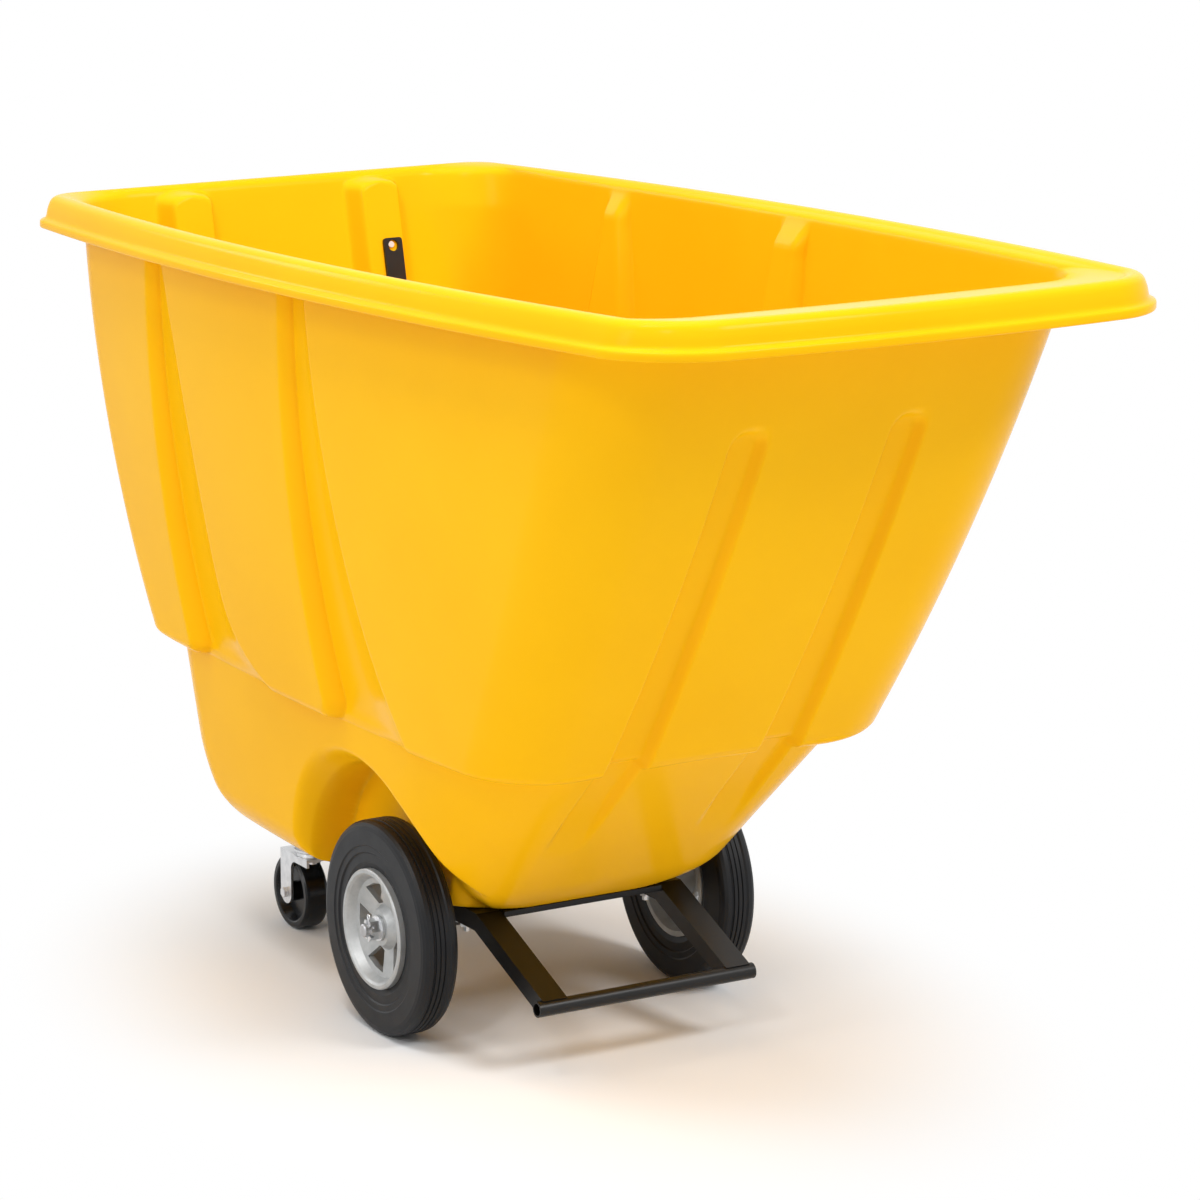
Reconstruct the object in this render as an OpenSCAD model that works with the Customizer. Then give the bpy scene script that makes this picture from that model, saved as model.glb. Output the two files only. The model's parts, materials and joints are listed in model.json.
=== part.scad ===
// Tilt truck: a one-piece moulded tub on a welded steel cradle, with two main wheels
// near the balance point, two swivel casters at the rear and a tip bar at the dumping end.
// Frame: X across, -Y the dumping end, +Y the pushing end, Z up, Z = 0 on the ground,
// Y = 0 halfway between the two end lips.

/* [Tub rim] */
// Distance between the end lips' crests, along the centre line
crest_length = 1754; // [1650:1:1850]
// Distance between the side crests at the corners
crest_width = 720; // [680:1:760]
// How far each long side bows out at mid-length
side_bow = 59; // [20:1:80]
// How far the dumping end bows out at its middle
front_bow = 30; // [10:1:45]
// Height of the rim's crest at mid-length
rim_h = 1117; // [1050:1:1180]
// Angle by which the rim climbs towards the dumping end
rim_climb = 1.9; // [0:0.01:3]
// How far the lip reaches out beyond the crest
lip_out = 29; // [24:1:36]
// Height of the lip below the crest
lip_drop = 46; // [40:1:56]
// Plan radius of the rim's corners at the dumping end
rim_corner_r = 75; // [55:1:95]
// Plan radius of the rim's corners at the rear
rim_rear_r = 36; // [28:1:60]
// Thickness of the moulded wall
wall = 6; // [4.5:0.1:8]

/* [Tub walls] */
// Height of the lower edge of the raised panels
belt_z = 465; // [440:1:500]
// Height of the sloping ledge under the raised panels
ledge_h = 30; // [24:1:40]
// Half width between the side panels at the belt, at the ends
belt_half_w = 311.5; // [300:0.5:320]
// Half width between the side panels just below the lip, at the ends
top_half_w = 353; // [346:1:356]
// How far the side panels stand proud of the lower body at the belt
panel_proud = 31.8; // [24:0.1:36]
// How far the side panels stand proud of the grooves just below the lip
groove_d_top = 18; // [12:1:24]
// Position of the dumping wall at the belt
front_belt_y = -383; // [-400:1:-365]
// How far the dumping wall's top is set in from the crest
front_top_in = 136; // [115:1:160]
// Position of the rear wall at the belt
rear_belt_y = 728; // [712:1:740]
// How far the rear wall's top is set in from the crest
rear_top_in = 21.5; // [16:0.5:35]
// Half width of the lower body at floor level, before its bottom radius
low_half_w = 254.5; // [246:0.5:260]
// Bottom radius along the sides
side_bottom_r = 56; // [50:1:70]
// Bottom radius at the rear
rear_bottom_r = 130; // [110:1:150]
// Position of the lower dumping wall at floor level
front_floor_y = -81; // [-100:1:-76]
// Angle of the lower dumping wall from the vertical
front_low_angle = 45.7; // [44:0.1:46.5]
// Position of the lower rear wall at floor level
rear_floor_y = 667.5; // [650:0.5:680]
// Distance of the dumping wall's channels from the centre line
channel_x = 125; // [115:1:135]
// Width of a channel's floor at its top
channel_w = 40; // [34:1:50]
// Width of a channel's floor at the belt
channel_low_w = 52; // [40:1:58]
// Depth of a channel
channel_d = 22; // [14:1:28]
// Distance of the rear wall's grooves from the centre line
rear_groove_x = 158; // [150:1:165]
// Width of a rear groove's floor
rear_groove_w = 56; // [48:1:62]
// Depth of a rear groove
rear_groove_d = 34; // [24:1:40]

/* [Wheel wells] */
// Radius of the wheel wells
well_r = 195; // [188:1:205]
// Distance of a well's centre behind the axle
well_back = 21; // [10:1:26]
// Height of a well's centre above the axle
well_up = 31; // [24:1:40]
// Distance between a tyre and the inner wall of its well
well_gap = 22; // [16:1:30]
// Height of the sloping underside in front of a well, above the floor at the well's inner wall
scoop_h = 43; // [36:1:50]

/* [Main wheels] */
// Position of the axle along the truck
axle_y = 61; // [50:1:70]
// Diameter of the axle
axle_d = 19.05; // [16:0.05:22]
// Outer diameter of the tyres
tyre_d = 304.8; // [298:0.2:308]
// Width of the tyres
tyre_w = 56; // [50:1:62]
// Distance between the tyres' outer faces
track_outer = 536; // [528:1:548]
// Diameter of the hub's rim, where the tyre sits
rim_d = 170; // [160:1:180]

/* [Frame] */
// Width of the frame's rectangular tube
rail_w = 38.1; // [34:0.1:42]
// Height of the frame's rectangular tube
rail_t = 25.4; // [22:0.1:28]
// Wall of the frame's rectangular tube
rail_wall = 2.6; // [2:0.1:3.2]
// Length of the spacer sleeves between the rails and the wheels
spacer_len = 44.3; // [40:0.1:50]
// Position where the rails bend down towards the tip bar
bend_y = -47; // [-60:1:-35]
// Position of the tip bar along the truck
tip_bar_y = -229; // [-245:1:-215]
// Height of the tip bar's axis
tip_bar_z = 101; // [90:1:110]
// Outer diameter of the tip bar's tube
tip_bar_d = 22.2; // [20:0.1:25]
// Bore of the tip bar's tube
tip_bar_bore = 17; // [14:0.1:18]
// How far the tip bar sticks out of the rails at each end
tip_bar_over = 7; // [5:0.5:15]
// Position of the frame's front crossbar
front_bar_y = -61; // [-64:1:-55]
// Width of the frame's front crossbar
front_bar_w = 38; // [30:1:45]
// Thickness of the frame's front crossbar
front_bar_t = 8; // [6:0.5:10]
// Position of the rails' rear ends
rail_rear_y = 455; // [445:1:460]
// Position of the rear crossbar
rear_bar_y = 582; // [580:1:590]
// Front edge of the caster plate under the rails
carrier_y0 = 424; // [420:1:430]
// How far the caster plate sticks out of the rails at each side
carrier_over = 3; // [1:0.5:5]
// Thickness of the caster plate
carrier_t = 6.35; // [5:0.05:7]

/* [Axle fittings] */
// Thickness of the axle brackets
bracket_t = 5; // [4:0.5:6]
// Width of the axle brackets
bracket_w = 38; // [34:0.5:38]
// Reach of a bracket's ears from the axle
bracket_reach = 34; // [32:1:38]
// Distance of a bracket's bolts from the axle
bracket_bolt_y = 24; // [23:0.5:25]
// Diameter of the bracket bolts
bracket_bolt_d = 8; // [7:0.5:8]
// Diameter of the spacer sleeves
spacer_d = 27; // [25:1:30]
// Thickness of the axle washers
washer_t = 2.5; // [2:0.1:3]
// Width of the axle nuts across corners
nut_d = 31; // [29:0.5:33]
// Height of the axle nuts
nut_h = 15; // [13:0.5:16]
// Diameter of the cotter pins
cotter_d = 3.6; // [3:0.1:4]

/* [Hubs] */
// Outer diameter of the roller bearings
bearing_od = 34; // [32:0.5:36]
// Radius of the hub's boss
hub_boss_r = 27; // [24:0.5:28]
// How far the hub's ring stands proud of the tyre
hub_proud = 4; // [2:0.5:6]
// Thickness of the dished web
web_t = 8; // [6:0.5:9]
// Depth of the dish
web_dish = 10; // [6:0.5:12]
// Inner radius of the openings between the spokes
window_r0 = 34; // [33:0.5:37]
// Outer radius of the openings between the spokes
window_r1 = 60; // [55:0.5:63]
// Width of an opening at its inner end
window_w0 = 14; // [10:0.5:16]
// Width of an opening at its outer end
window_w1 = 46; // [38:0.5:50]

/* [Push handle] */
// Distance of the handle's legs outside the groove's middle
handle_off = 6.5; // [5:0.5:7]
// How far the grip stands off the groove's floor
handle_out = 75; // [70:1:82]
// Bend radius of the handle
handle_bend = 38; // [32:1:45]
// Diameter of the handle's bar
handle_d = 25.4; // [22:0.1:28]
// Width of the mounting plates
plate_w = 42; // [38:1:42]
// Thickness of the mounting plates
plate_t = 5; // [4:0.5:6]
// Distance of the straps outside the groove's middle
strap_off = 9; // [7:0.5:11]
// Width of the inner straps
strap_w = 31.4; // [29:0.1:33]
// Thickness of the inner straps
strap_t = 4.8; // [4:0.1:6]
// Diameter of the hole at a strap's upper end
strap_hole_d = 17.4; // [16.8:0.1:19]
// Diameter of the handle's bolts
handle_bolt_d = 9.5; // [8:0.1:10]

/* [Casters] */
// Position of the swivel axes along the truck
caster_y = 525; // [515:1:530]
// Distance of a swivel axis inside the rails' outer faces
caster_in = 39; // [36:1:46]
// Distance of the caster axle behind its swivel axis
caster_trail = 40; // [34:1:44]
// Diameter of the caster wheels
caster_d = 114; // [108:0.5:118]
// Width of the caster wheels
caster_w = 38; // [34:1:40]
// Size of a caster's top plate across the truck
caster_plate_x = 82; // [78:1:84]
// Size of a caster's top plate along the truck
caster_plate_y = 114; // [110:1:118]
// Thickness of a caster's top plate
caster_plate_t = 6.35; // [5.5:0.05:6.5]
// Spacing of the plate's bolts across the truck
caster_hole_x = 56; // [54:1:58]
// Spacing of the plate's bolts along the truck
caster_hole_y = 88; // [84:1:92]
// Diameter of the plate's bolts
caster_bolt_d = 8; // [7:0.5:8]
// Diameter of the kingpin
kingpin_d = 12.7; // [11:0.1:14]
// Inner width of the fork
fork_in = 42; // [41:0.5:44]
// Thickness of the fork's legs
leg_t = 4; // [3:0.5:5]
// Width of the fork's legs
leg_w = 34; // [30:1:36]
// Diameter of the caster axle
caster_axle_d = 8; // [7:0.1:8.5]
// Diameter of the bushing on the caster axle
bushing_d = 12.7; // [11.5:0.1:14]

/* [Hidden] */

rail_top = tyre_d / 2 + axle_d / 2 + rail_t;
floor_z = rail_top;
wall_drop = 65;
top_z = rim_h - wall_drop;
crest_half_l = crest_length / 2;
front_top_y = -crest_half_l + front_top_in;
rear_top_y = crest_half_l - rear_top_in;
handle_x = rear_groove_x + handle_off;
strap_x = rear_groove_x + strap_off;
climb = tan(rim_climb);
corner_steps = 5;

// Fits
run_play = 0.05;
seat_gap = 0.1;
weld_gap = 0.1;
hole_play = 0.8;
seat_play = 0.3;
strap_play = 0.3;
side_play = 0.4;
caster_side_play = 0.3;

// Places along the truck and along the axle
tub_bolt_y = [14, 200, 370];
tub_bolt_d = 10;
wheel_x = track_outer / 2 - tyre_w / 2;
hub_in = -30;
hub_out = 18;
web_z = 8;
bearing_proud = 1;
window_turn = 20;
tread_d = 1.6;
spacer_x1 = wheel_x + hub_in - side_play;
spacer_x0 = spacer_x1 - spacer_len;
rail_span = 2 * (spacer_x0 - seat_play);
tip_bar_len = rail_span + 2 * tip_bar_over;
carrier_w = rail_span + 2 * carrier_over;
caster_x = rail_span / 2 - caster_in;
well_x = wheel_x - tyre_w / 2 - well_gap;
washer_x0 = wheel_x + hub_out + bearing_proud + side_play;
nut_x0 = washer_x0 + washer_t + 0.1;
nut_slot_w = 4.6;
nut_slot_d = 5;
cotter_x = nut_x0 + nut_h - nut_slot_d / 2;
axle_end_x = nut_x0 + nut_h + 8;
handle_bolt_z = [70, -50];
plate_z0 = -70;
plate_z1 = 90;
strap_z0 = -140;
strap_z1 = 80;
strap_r = 5;
strap_hole_z = 68;
strap_bolt_z = -110;
crown_gap = 5;
crown_t = 4;
crown_front = 30;
crown_skirt = 8;
leg_fillet = 14;
boss_h = 4.5;
cup_h = 5;

// Fastener sizes
axle_washer_d = 36;
cotter_tail = 17;
cotter_eye_r = 3.2;
cotter_wire_d = 2.4;
bracket_head_d = 15;
bracket_head_h = 5.3;
tub_head_d = 22;
tub_head_h = 5;
tub_washer_d = 22;
tub_washer_t = 2;
tub_nut_d = 18.5;
tub_nut_h = 9;
handle_head_d = 17;
handle_head_h = 6;
handle_nut_h = 8;
kingpin_nut_d = 21;
kingpin_nut_h = 8;
axle_head_d = 15.5;
axle_head_h = 6;
axle_nut_h = 7;
caster_head_d = 15;
caster_head_h = 6;
caster_nut_h = 7;

function mix(a, b, t) = a + (b - a) * t;
function clamp01(t) = min(1, max(0, t));
// Share of the way from the belt up to the wall's top
function up(z) = clamp01((z - belt_z) / (top_z - belt_z));
// Share of the way from the floor up to the belt
function low(z) = clamp01((z - floor_z) / (belt_z - floor_z));
// Inset of a wall that runs out of a flat floor with the given radius
function bottom_in(z, r) =
    let (h = z - floor_z)
    h >= r ? 0 : r - sqrt(max(0, r * r - (r - h) * (r - h)));

// An outline is [half width, side bow, front y, front bow, rear y, front radius, rear radius,
// length of the front corners along the sides]
function mix_outline(a, b, t) = [for (i = [0:7]) mix(a[i], b[i], t)];
function inset(o, d) =
    [o[0] - d, o[1], o[2] + d, o[3], o[4] - d, max(8, o[5] - d), max(8, o[6] - d), max(8, o[7] - d)];

// Lower body, from the floor to the belt
front_blend_h = 52;
front_blend = 23;
low_bow = 15;
belt_bow = 20;
function low_outline(z, d) =
    let (h = z - floor_z)
    let (s = clamp01(1 - (h - d) / front_blend_h))
    [
        mix(low_half_w, belt_half_w - panel_proud, low(z)) - bottom_in(z - d, side_bottom_r - d),
        mix(low_bow, belt_bow, low(z)),
        front_floor_y - h * tan(front_low_angle) + front_blend * s * s,
        0,
        mix(rear_floor_y, rear_belt_y - 18, low(z)) - bottom_in(z - d, rear_bottom_r - d),
        mix(127, 99, low(z)),
        mix(105, 115, low(z)),
        mix(225, 259, low(z))
    ];

// Raised panels, from the belt to the wall's top
front_curve = 0.19;
side_curve = 0.18;
rear_r_waist = 48;
function arched(t, c) = t * (1 + c) - c * t * t;
function panel_outline(z) =
    let (t = up(z))
    [
        mix(belt_half_w, top_half_w, arched(t, side_curve)),
        mix(16.5, side_bow, t),
        mix(front_belt_y, front_top_y, arched(t, front_curve)),
        mix(4, front_bow, t),
        mix(rear_belt_y, rear_top_y, t),
        mix(114.5, 152, t),
        mix(96, 112, t) - 4 * rear_r_waist * t * (1 - t),
        mix(114.5, 152, t)
    ];

crest_outline = [crest_width / 2, side_bow, -crest_half_l + front_bow, front_bow, crest_half_l,
                 rim_corner_r, rim_rear_r, rim_corner_r];

// Rim outline stepped out (or in) from the crest
function rim_outline(d) = inset(crest_outline, -d);

// Depths of the vertical grooves, faded out at their ends
function channel_depth(z) =
    channel_d * clamp01((channel_top_z - z) / 30) * clamp01((z - channel_low_z) / 80);
function rear_groove_depth(z) =
    rear_groove_d * clamp01((top_z + 28 - z) / 22) * clamp01((z - belt_z) / 90);
// Depth of the side grooves, which run into the lower body at the belt
function side_groove_depth(z) = mix(panel_proud, groove_d_top, up(z));

channel_top_z = 952;
channel_low_z = 290;
channel_bevel = 13;
rear_bevel = 22;
lap_w = 3;
lap_round = 16;

// Lengthwise lines of the two lapped grooves at height z: the long ramp and the deep line
function sag(z) = 1 - up(z);
function ramp_front(z) = 15 - 66 * sag(z) - 94 * pow(sag(z), 12);
function deep_front(z) = 113 - 48 * sag(z);
function ramp_rear(z) = 413 - 20 * sag(z) - 147 * pow(sag(z), 16);
function deep_rear(z) = 479 - 3 * sag(z);

// Stations across an end wall with a pair of grooves
function end_stations(x, half, bevel, reach) =
    let (k = min(1, reach / (x + half + bevel)))
    let (a = [x - half - bevel, x - half, x + half, x + half + bevel])
    [-k * a[3], -k * a[2], -k * a[1], -k * a[0], 0, k * a[0], k * a[1], k * a[2], k * a[3]];
end_marks = [0, 1, 1, 0, 0, 0, 1, 1, 0];

// Stations along a side wall, with how far each one stands proud
function side_stations(z, a, b) =
    let (e = ramp_front(z), d = deep_front(z), f = ramp_rear(z), g = deep_rear(z))
    [mix(a, e, 0.5), e, mix(e, d, 0.5), d, d + lap_w, d + lap_round, mix(d + lap_round, f, 0.5), f,
     mix(f, g, 0.5), g, g + lap_w, g + lap_round, mix(g + lap_round, b, 0.5)];
side_marks = [1, 1, 0.5, 0, 0.88, 1, 1, 1, 0.5, 0, 0.88, 1, 1];

function flip(v) = [for (i = [len(v) - 1:-1:0]) v[i]];

// Plan points of an outline; the side stations are laid out at height zr and then fitted
function plan(o, zr) =
    let (p = panel_outline(zr))
    let (a = p[2] + p[7], b = p[4] - p[6])
    let (c = o[2] + o[7], e = o[4] - o[6])
    let (sy = [for (y = side_stations(zr, a, b)) mix(c, e, (y - a) / (b - a))])
    let (cw = mix(channel_low_w, channel_w, up(zr)) / 2)
    let (fx = end_stations(channel_x, cw, channel_bevel, o[0] - o[5] - 4))
    let (rx = end_stations(rear_groove_x, rear_groove_w / 2, rear_bevel, o[0] - o[6] - 4))
    let (xf = o[0] - o[5], xr = o[0] - o[6])
    let (n = corner_steps)
    [
        for (x = fx) [x, o[2]],
        for (i = [0:n]) [xf + o[5] * sin(90 * i / n), c - o[7] * cos(90 * i / n)],
        for (y = sy) [o[0], y],
        for (i = [0:n]) [xr + o[6] * cos(90 * i / n), e + o[6] * sin(90 * i / n)],
        for (x = flip(rx)) [x, o[4]],
        for (i = [0:n]) [-xr - o[6] * sin(90 * i / n), e + o[6] * cos(90 * i / n)],
        for (y = flip(sy)) [-o[0], y],
        for (i = [0:n]) [-xf - o[5] * cos(90 * i / n), c - o[7] * sin(90 * i / n)]
    ];

// How far each plan point stands proud, and how deep it is grooved at the ends
corner_ones = [for (i = [0:corner_steps]) 1];
corner_none = [for (i = [0:corner_steps]) 0];
end_ones = [for (m = end_marks) 1];
side_none = [for (m = side_marks) 0];
end_none = [for (m = end_marks) 0];
proud_marks = concat(end_ones, corner_ones, side_marks, corner_ones, end_ones, corner_ones,
                     flip(side_marks), corner_ones);
front_marks = concat(end_marks, corner_none, side_none, corner_none, end_none, corner_none,
                     side_none, corner_none);
rear_marks = concat(end_none, corner_none, side_none, corner_none, end_marks, corner_none,
                    side_none, corner_none);
ring_n = len(proud_marks);

// Bowed position of a plan point
function bowed(p, o) =
    let (v = (2 * p[1] - o[2] - o[4]) / (o[4] - o[2]))
    let (u = p[0] / o[0])
    [p[0] * (1 + o[1] / o[0] * (1 - v * v)), p[1] - o[3] * (1 - u * u) * pow(max(0, -v), 4)];

// One closed ring of the skin: base outline b, proud outline p, share q of the proud form
function ring(z, b, p, q, fd, rd, tilt) =
    let (zr = min(top_z, max(belt_z, z)))
    let (bp = plan(b, zr), pp = plan(p, zr))
    [
        for (i = [0:ring_n - 1])
            let (w = q * proud_marks[i])
            let (b2 = bowed(bp[i], b), p2 = bowed(pp[i], p))
            let (x = mix(b2[0], p2[0], w))
            let (y = mix(b2[1], p2[1], w) + fd * front_marks[i] - rd * rear_marks[i])
            [x, y, z - y * climb * tilt]
    ];

// Skin at height z: d is zero outside and the wall's thickness inside
function deep_outline(z) =
    let (p = panel_outline(z))
    [p[0] - side_groove_depth(z), p[1], p[2], p[3], p[4], p[5], p[6], p[7]];
function front_thick(o, d) = [o[0], o[1], o[2] + 0.3 * d, o[3], o[4], o[5], o[6], o[7]];
function low_skin(z, d) =
    let (o = low_outline(z, d))
    front_thick(inset(o, d), d);
function low_ring(z, d) =
    ring(z, low_skin(z, d), low_skin(z, d), 0, channel_depth(z), 0, 0);
function ledge_ring(z, q, d) =
    ring(z, low_skin(z, d), front_thick(inset(panel_outline(z), d), d), q, channel_depth(z), 0, 0);
function panel_ring(z, d) =
    ring(z, inset(deep_outline(z), d), inset(panel_outline(z), d), 1, channel_depth(z),
         rear_groove_depth(z), up(z) * (top_z - belt_z) / (rim_h - belt_z));
// Flare between the wall's top and the crest, t = 0 at the wall
function flare_ring(t, z, d, e) =
    let (o = mix_outline(inset(panel_outline(top_z), d), rim_outline(-e), t))
    let (w = mix_outline(inset(deep_outline(top_z), d), rim_outline(-e), t))
    ring(z, w, o, 1, 0, rear_groove_depth(z), (z - belt_z) / (rim_h - belt_z));
// Lip profile: s outwards from the crest and h below it, as shares of its size
function lip_ring(s, h) =
    let (o = rim_outline(s * lip_out))
    let (r = ring(rim_h, o, o, 0, 0, 0, 1))
    [for (p = r) [p[0], p[1], p[2] - h * lip_drop]];

low_steps = [0, 3, 12, 30, 56, 90, 130];
panel_steps = [12, 30, 65, 130, 250, 390, 455, 485, 548];
inner_steps = [548, 485, 390, 250, 130, 65, 30, 12];
inner_low_steps = [124, 84, 50, 26, 10, 3, 0];
ledge_z = belt_z - ledge_h;
mid_low_z = mix(floor_z + 130, ledge_z, 0.5);
crest_in = 11;

low_rings = concat([for (h = low_steps) low_ring(floor_z + h, 0)],
                   [low_ring(mid_low_z, 0), low_ring(ledge_z, 0)],
                   [ledge_ring(belt_z - 0.9 * ledge_h, 0.46, 0),
                    ledge_ring(belt_z - 0.6 * ledge_h, 0.82, 0),
                    ledge_ring(belt_z, 1, 0)]);
// Middle of the lower body's skin, which bounds the wells' own skin
core_rings = concat([for (h = low_steps) low_ring(floor_z + wall / 2 + h, wall / 2)],
                    [low_ring(mid_low_z, wall / 2), low_ring(ledge_z, wall / 2)]);
panel_rings = [for (h = panel_steps) panel_ring(belt_z + h, 0)];
rim_rings = concat([panel_ring(top_z, 0)],
                   [flare_ring(0.3, mix(top_z, rim_h - 9, 0.4), 0, 4),
                    flare_ring(0.7, mix(top_z, rim_h - 9, 0.78), 0, 4),
                    flare_ring(1, rim_h - 9, 0, 4)],
                   [lip_ring(0.22, 0.2), lip_ring(0.4, 0.4), lip_ring(0.5, 0.68), lip_ring(0.72, 0.82),
                    lip_ring(0.77, 1), lip_ring(0.95, 1), lip_ring(1, 0.95), lip_ring(1, 0.79),
                    lip_ring(0.9, 0.725), lip_ring(0.7, 0.65), lip_ring(0.6, 0.36), lip_ring(0.46, 0.14),
                    lip_ring(0.24, 0.03), lip_ring(0, 0)],
                   [flare_ring(1, rim_h - 2, wall, 6), flare_ring(1, rim_h - 8, wall, crest_in),
                    flare_ring(0.6, mix(top_z, rim_h - 8, 0.68), wall, crest_in),
                    flare_ring(0.25, mix(top_z, rim_h - 8, 0.33), wall, crest_in),
                    panel_ring(top_z, wall)]);
inner_rings = concat([for (h = inner_steps) panel_ring(belt_z + h, wall)],
                     [ledge_ring(belt_z + 2, 1, wall),
                      ledge_ring(belt_z - 0.6 * ledge_h + 4, 0.82, wall),
                      ledge_ring(belt_z - 0.9 * ledge_h + 5, 0.46, wall)],
                     [low_ring(ledge_z + 3, wall)],
                     [for (h = inner_low_steps) low_ring(floor_z + wall + h, wall)]);

// Closed solid through a stack of rings
module stack(rings) {
    n = len(rings[0]);
    m = len(rings);
    pts = [for (r = rings) each r];
    sides = [
        for (j = [0:m - 2]) for (i = [0:n - 1])
            let (k = (i + 1) % n)
            let (a = j * n + i, b = j * n + k, c = (j + 1) * n + k, d = (j + 1) * n + i)
            each [[a, d, c], [a, c, b]]
    ];
    first = [for (i = [0:n - 1]) i];
    last = [for (i = [n - 1:-1:0]) (m - 1) * n + i];
    polyhedron(points = pts, faces = concat(sides, [first, last]), convexity = 12);
}

// Wheel well on one side: a drum open downwards and outwards with a flared mouth
module well(side, r, x0, out) {
    hull() {
        for (dz = [0, -260]) {
            translate([side * x0, axle_y + well_back, tyre_d / 2 + well_up + dz])
                rotate([0, side * 90, 0]) cylinder(r = r, h = out, $fn = 54);
        }
    }
    hull() {
        for (dz = [0, -260]) {
            translate([side * well_flare_x, axle_y + well_back, tyre_d / 2 + well_up + dz])
                rotate([0, side * 90, 0]) cylinder(r1 = r, r2 = r + 30, h = 50, $fn = 54);
        }
    }
}
well_flare_x = well_x + 57.1;

// Sloping underside that opens a well towards the dumping end
scoop_slope = 0.8;
module scoop(side, d) {
    z0 = floor_z + scoop_h + d * 1.28;
    y0 = axle_y - 81 + 1.2 * d;
    x0 = well_x - 66 - d;
    x1 = well_x + 180;
    intersection() {
        translate([0, y0, 0]) rotate([90, 0, 0]) linear_extrude(height = 300 + d)
            polygon([
                [side * x0, z0 - (well_x - x0) * scoop_slope], [side * x1, z0 + 180 * scoop_slope],
                [side * x1, 60 - d], [side * x0, 60 - d]
            ]);
        linear_extrude(height = 500)
            polygon([
                [side * (well_x + 5), y0 + 1], [side * (x1 + 10), y0 + 1], [side * (x1 + 10), y0 - 400],
                [side * (x0 - 5), y0 - 400], [side * (x0 - 5), y0 - 56]
            ]);
    }
}

module tub() {
    color([0.98, 0.75, 0.12])
    difference() {
        union() {
            stack(concat(low_rings, panel_rings, rim_rings, inner_rings));
            intersection() {
                stack(core_rings);
                union() {
                    for (side = [-1, 1]) {
                        well(side, well_r + wall, well_x - wall, 220);
                        scoop(side, wall);
                    }
                }
            }
        }
        for (side = [-1, 1]) {
            well(side, well_r, well_x, 230);
            scoop(side, 0);
            on_seat(side * handle_x) {
                for (z = [handle_bolt_z[0], handle_bolt_z[1], strap_bolt_z]) {
                    bar_y(-skin_t - 5, 5, z, handle_bolt_d + hole_play, 22);
                }
            }
        }
        tub_bolt_places() translate([0, 0, floor_z - 5])
            rotate([0, 0, 9]) cylinder(d = tub_bolt_d + hole_play, h = wall + 10, $fn = 20);
    }
}

// Frame: two bent rectangular tubes joined by bars, a tip bar and a caster plate
rail_x = rail_span / 2 - rail_w / 2;
rail_mid_z = rail_top - rail_t / 2;
rail_low_z = rail_top - rail_t;
arm_angle = atan2(rail_mid_z - tip_bar_z, bend_y - tip_bar_y);
axle_z = tyre_d / 2;

function rail_profile(h, rear) =
    let (m = h * tan(arm_angle / 2))
    [
        [rear, rail_mid_z + h],
        [bend_y - m, rail_mid_z + h],
        [tip_bar_y - h * sin(arm_angle), tip_bar_z + h * cos(arm_angle)],
        [tip_bar_y + h * sin(arm_angle), tip_bar_z - h * cos(arm_angle)],
        [bend_y + m, rail_mid_z - h],
        [rear, rail_mid_z - h]
    ];

// Extrude a (Y, Z) profile across the truck, centred on x
module across(x, w) {
    translate([x - w / 2, 0, 0]) rotate([90, 0, 90]) linear_extrude(height = w) children();
}
// Round bar across the truck
module bar_x(x0, x1, y, z, d) {
    translate([x0, y, z]) rotate([0, 90, 0]) cylinder(d = d, h = x1 - x0, $fn = 64);
}

module rail(side) {
    color([0.07, 0.07, 0.07])
    difference() {
        across(side * rail_x, rail_w) polygon(rail_profile(rail_t / 2, rail_rear_y));
        across(side * rail_x, rail_w - 2 * rail_wall)
            polygon(rail_profile(rail_t / 2 - rail_wall, rail_rear_y + 5));
        bar_x(side * rail_x - rail_w, side * rail_x + rail_w, tip_bar_y, tip_bar_z,
              tip_bar_d + 2 * weld_gap);
        for (y = tub_bolt_y) {
            translate([side * rail_x, y, rail_low_z - 5])
                cylinder(d = tub_bolt_d + hole_play, h = 50, $fn = 32);
        }
        for (dy = [-bracket_bolt_y, bracket_bolt_y]) {
            translate([side * rail_x, axle_y + dy, rail_low_z - 5])
                cylinder(d = bracket_bolt_d + hole_play, h = 12, $fn = 32);
        }
    }
}
module rail_left() { rail(-1); }
module rail_right() { rail(1); }

module front_crossbar() {
    color([0.07, 0.07, 0.07])
    translate([-rail_span / 2 + rail_w + weld_gap, front_bar_y, rail_top - front_bar_t])
        cube([rail_span - 2 * rail_w - 2 * weld_gap, front_bar_w, front_bar_t]);
}

module rear_crossbar() {
    color([0.07, 0.07, 0.07])
    difference() {
        translate([-rail_span / 2, rear_bar_y, rail_low_z]) cube([rail_span, rail_t, rail_t]);
        translate([-rail_span / 2 - 5, rear_bar_y + rail_wall, rail_low_z + rail_wall])
            cube([rail_span + 10, rail_t - 2 * rail_wall, rail_t - 2 * rail_wall]);
    }
}

module tip_bar() {
    color([0.07, 0.07, 0.07])
    difference() {
        bar_x(-tip_bar_len / 2, tip_bar_len / 2, tip_bar_y, tip_bar_z, tip_bar_d);
        bar_x(-tip_bar_len / 2 - 5, tip_bar_len / 2 + 5, tip_bar_y, tip_bar_z, tip_bar_bore);
    }
}

module caster_carrier() {
    color([0.07, 0.07, 0.07])
    difference() {
        translate([-carrier_w / 2, carrier_y0, rail_low_z - carrier_t])
            cube([carrier_w, rear_bar_y + rail_t - carrier_y0, carrier_t]);
        for (side = [-1, 1]) {
            caster_bolt_places(side)
                translate([0, 0, rail_low_z - carrier_t - 5])
                    cylinder(d = caster_bolt_d + hole_play, h = carrier_t + 10, $fn = 32);
        }
    }
}

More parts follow.
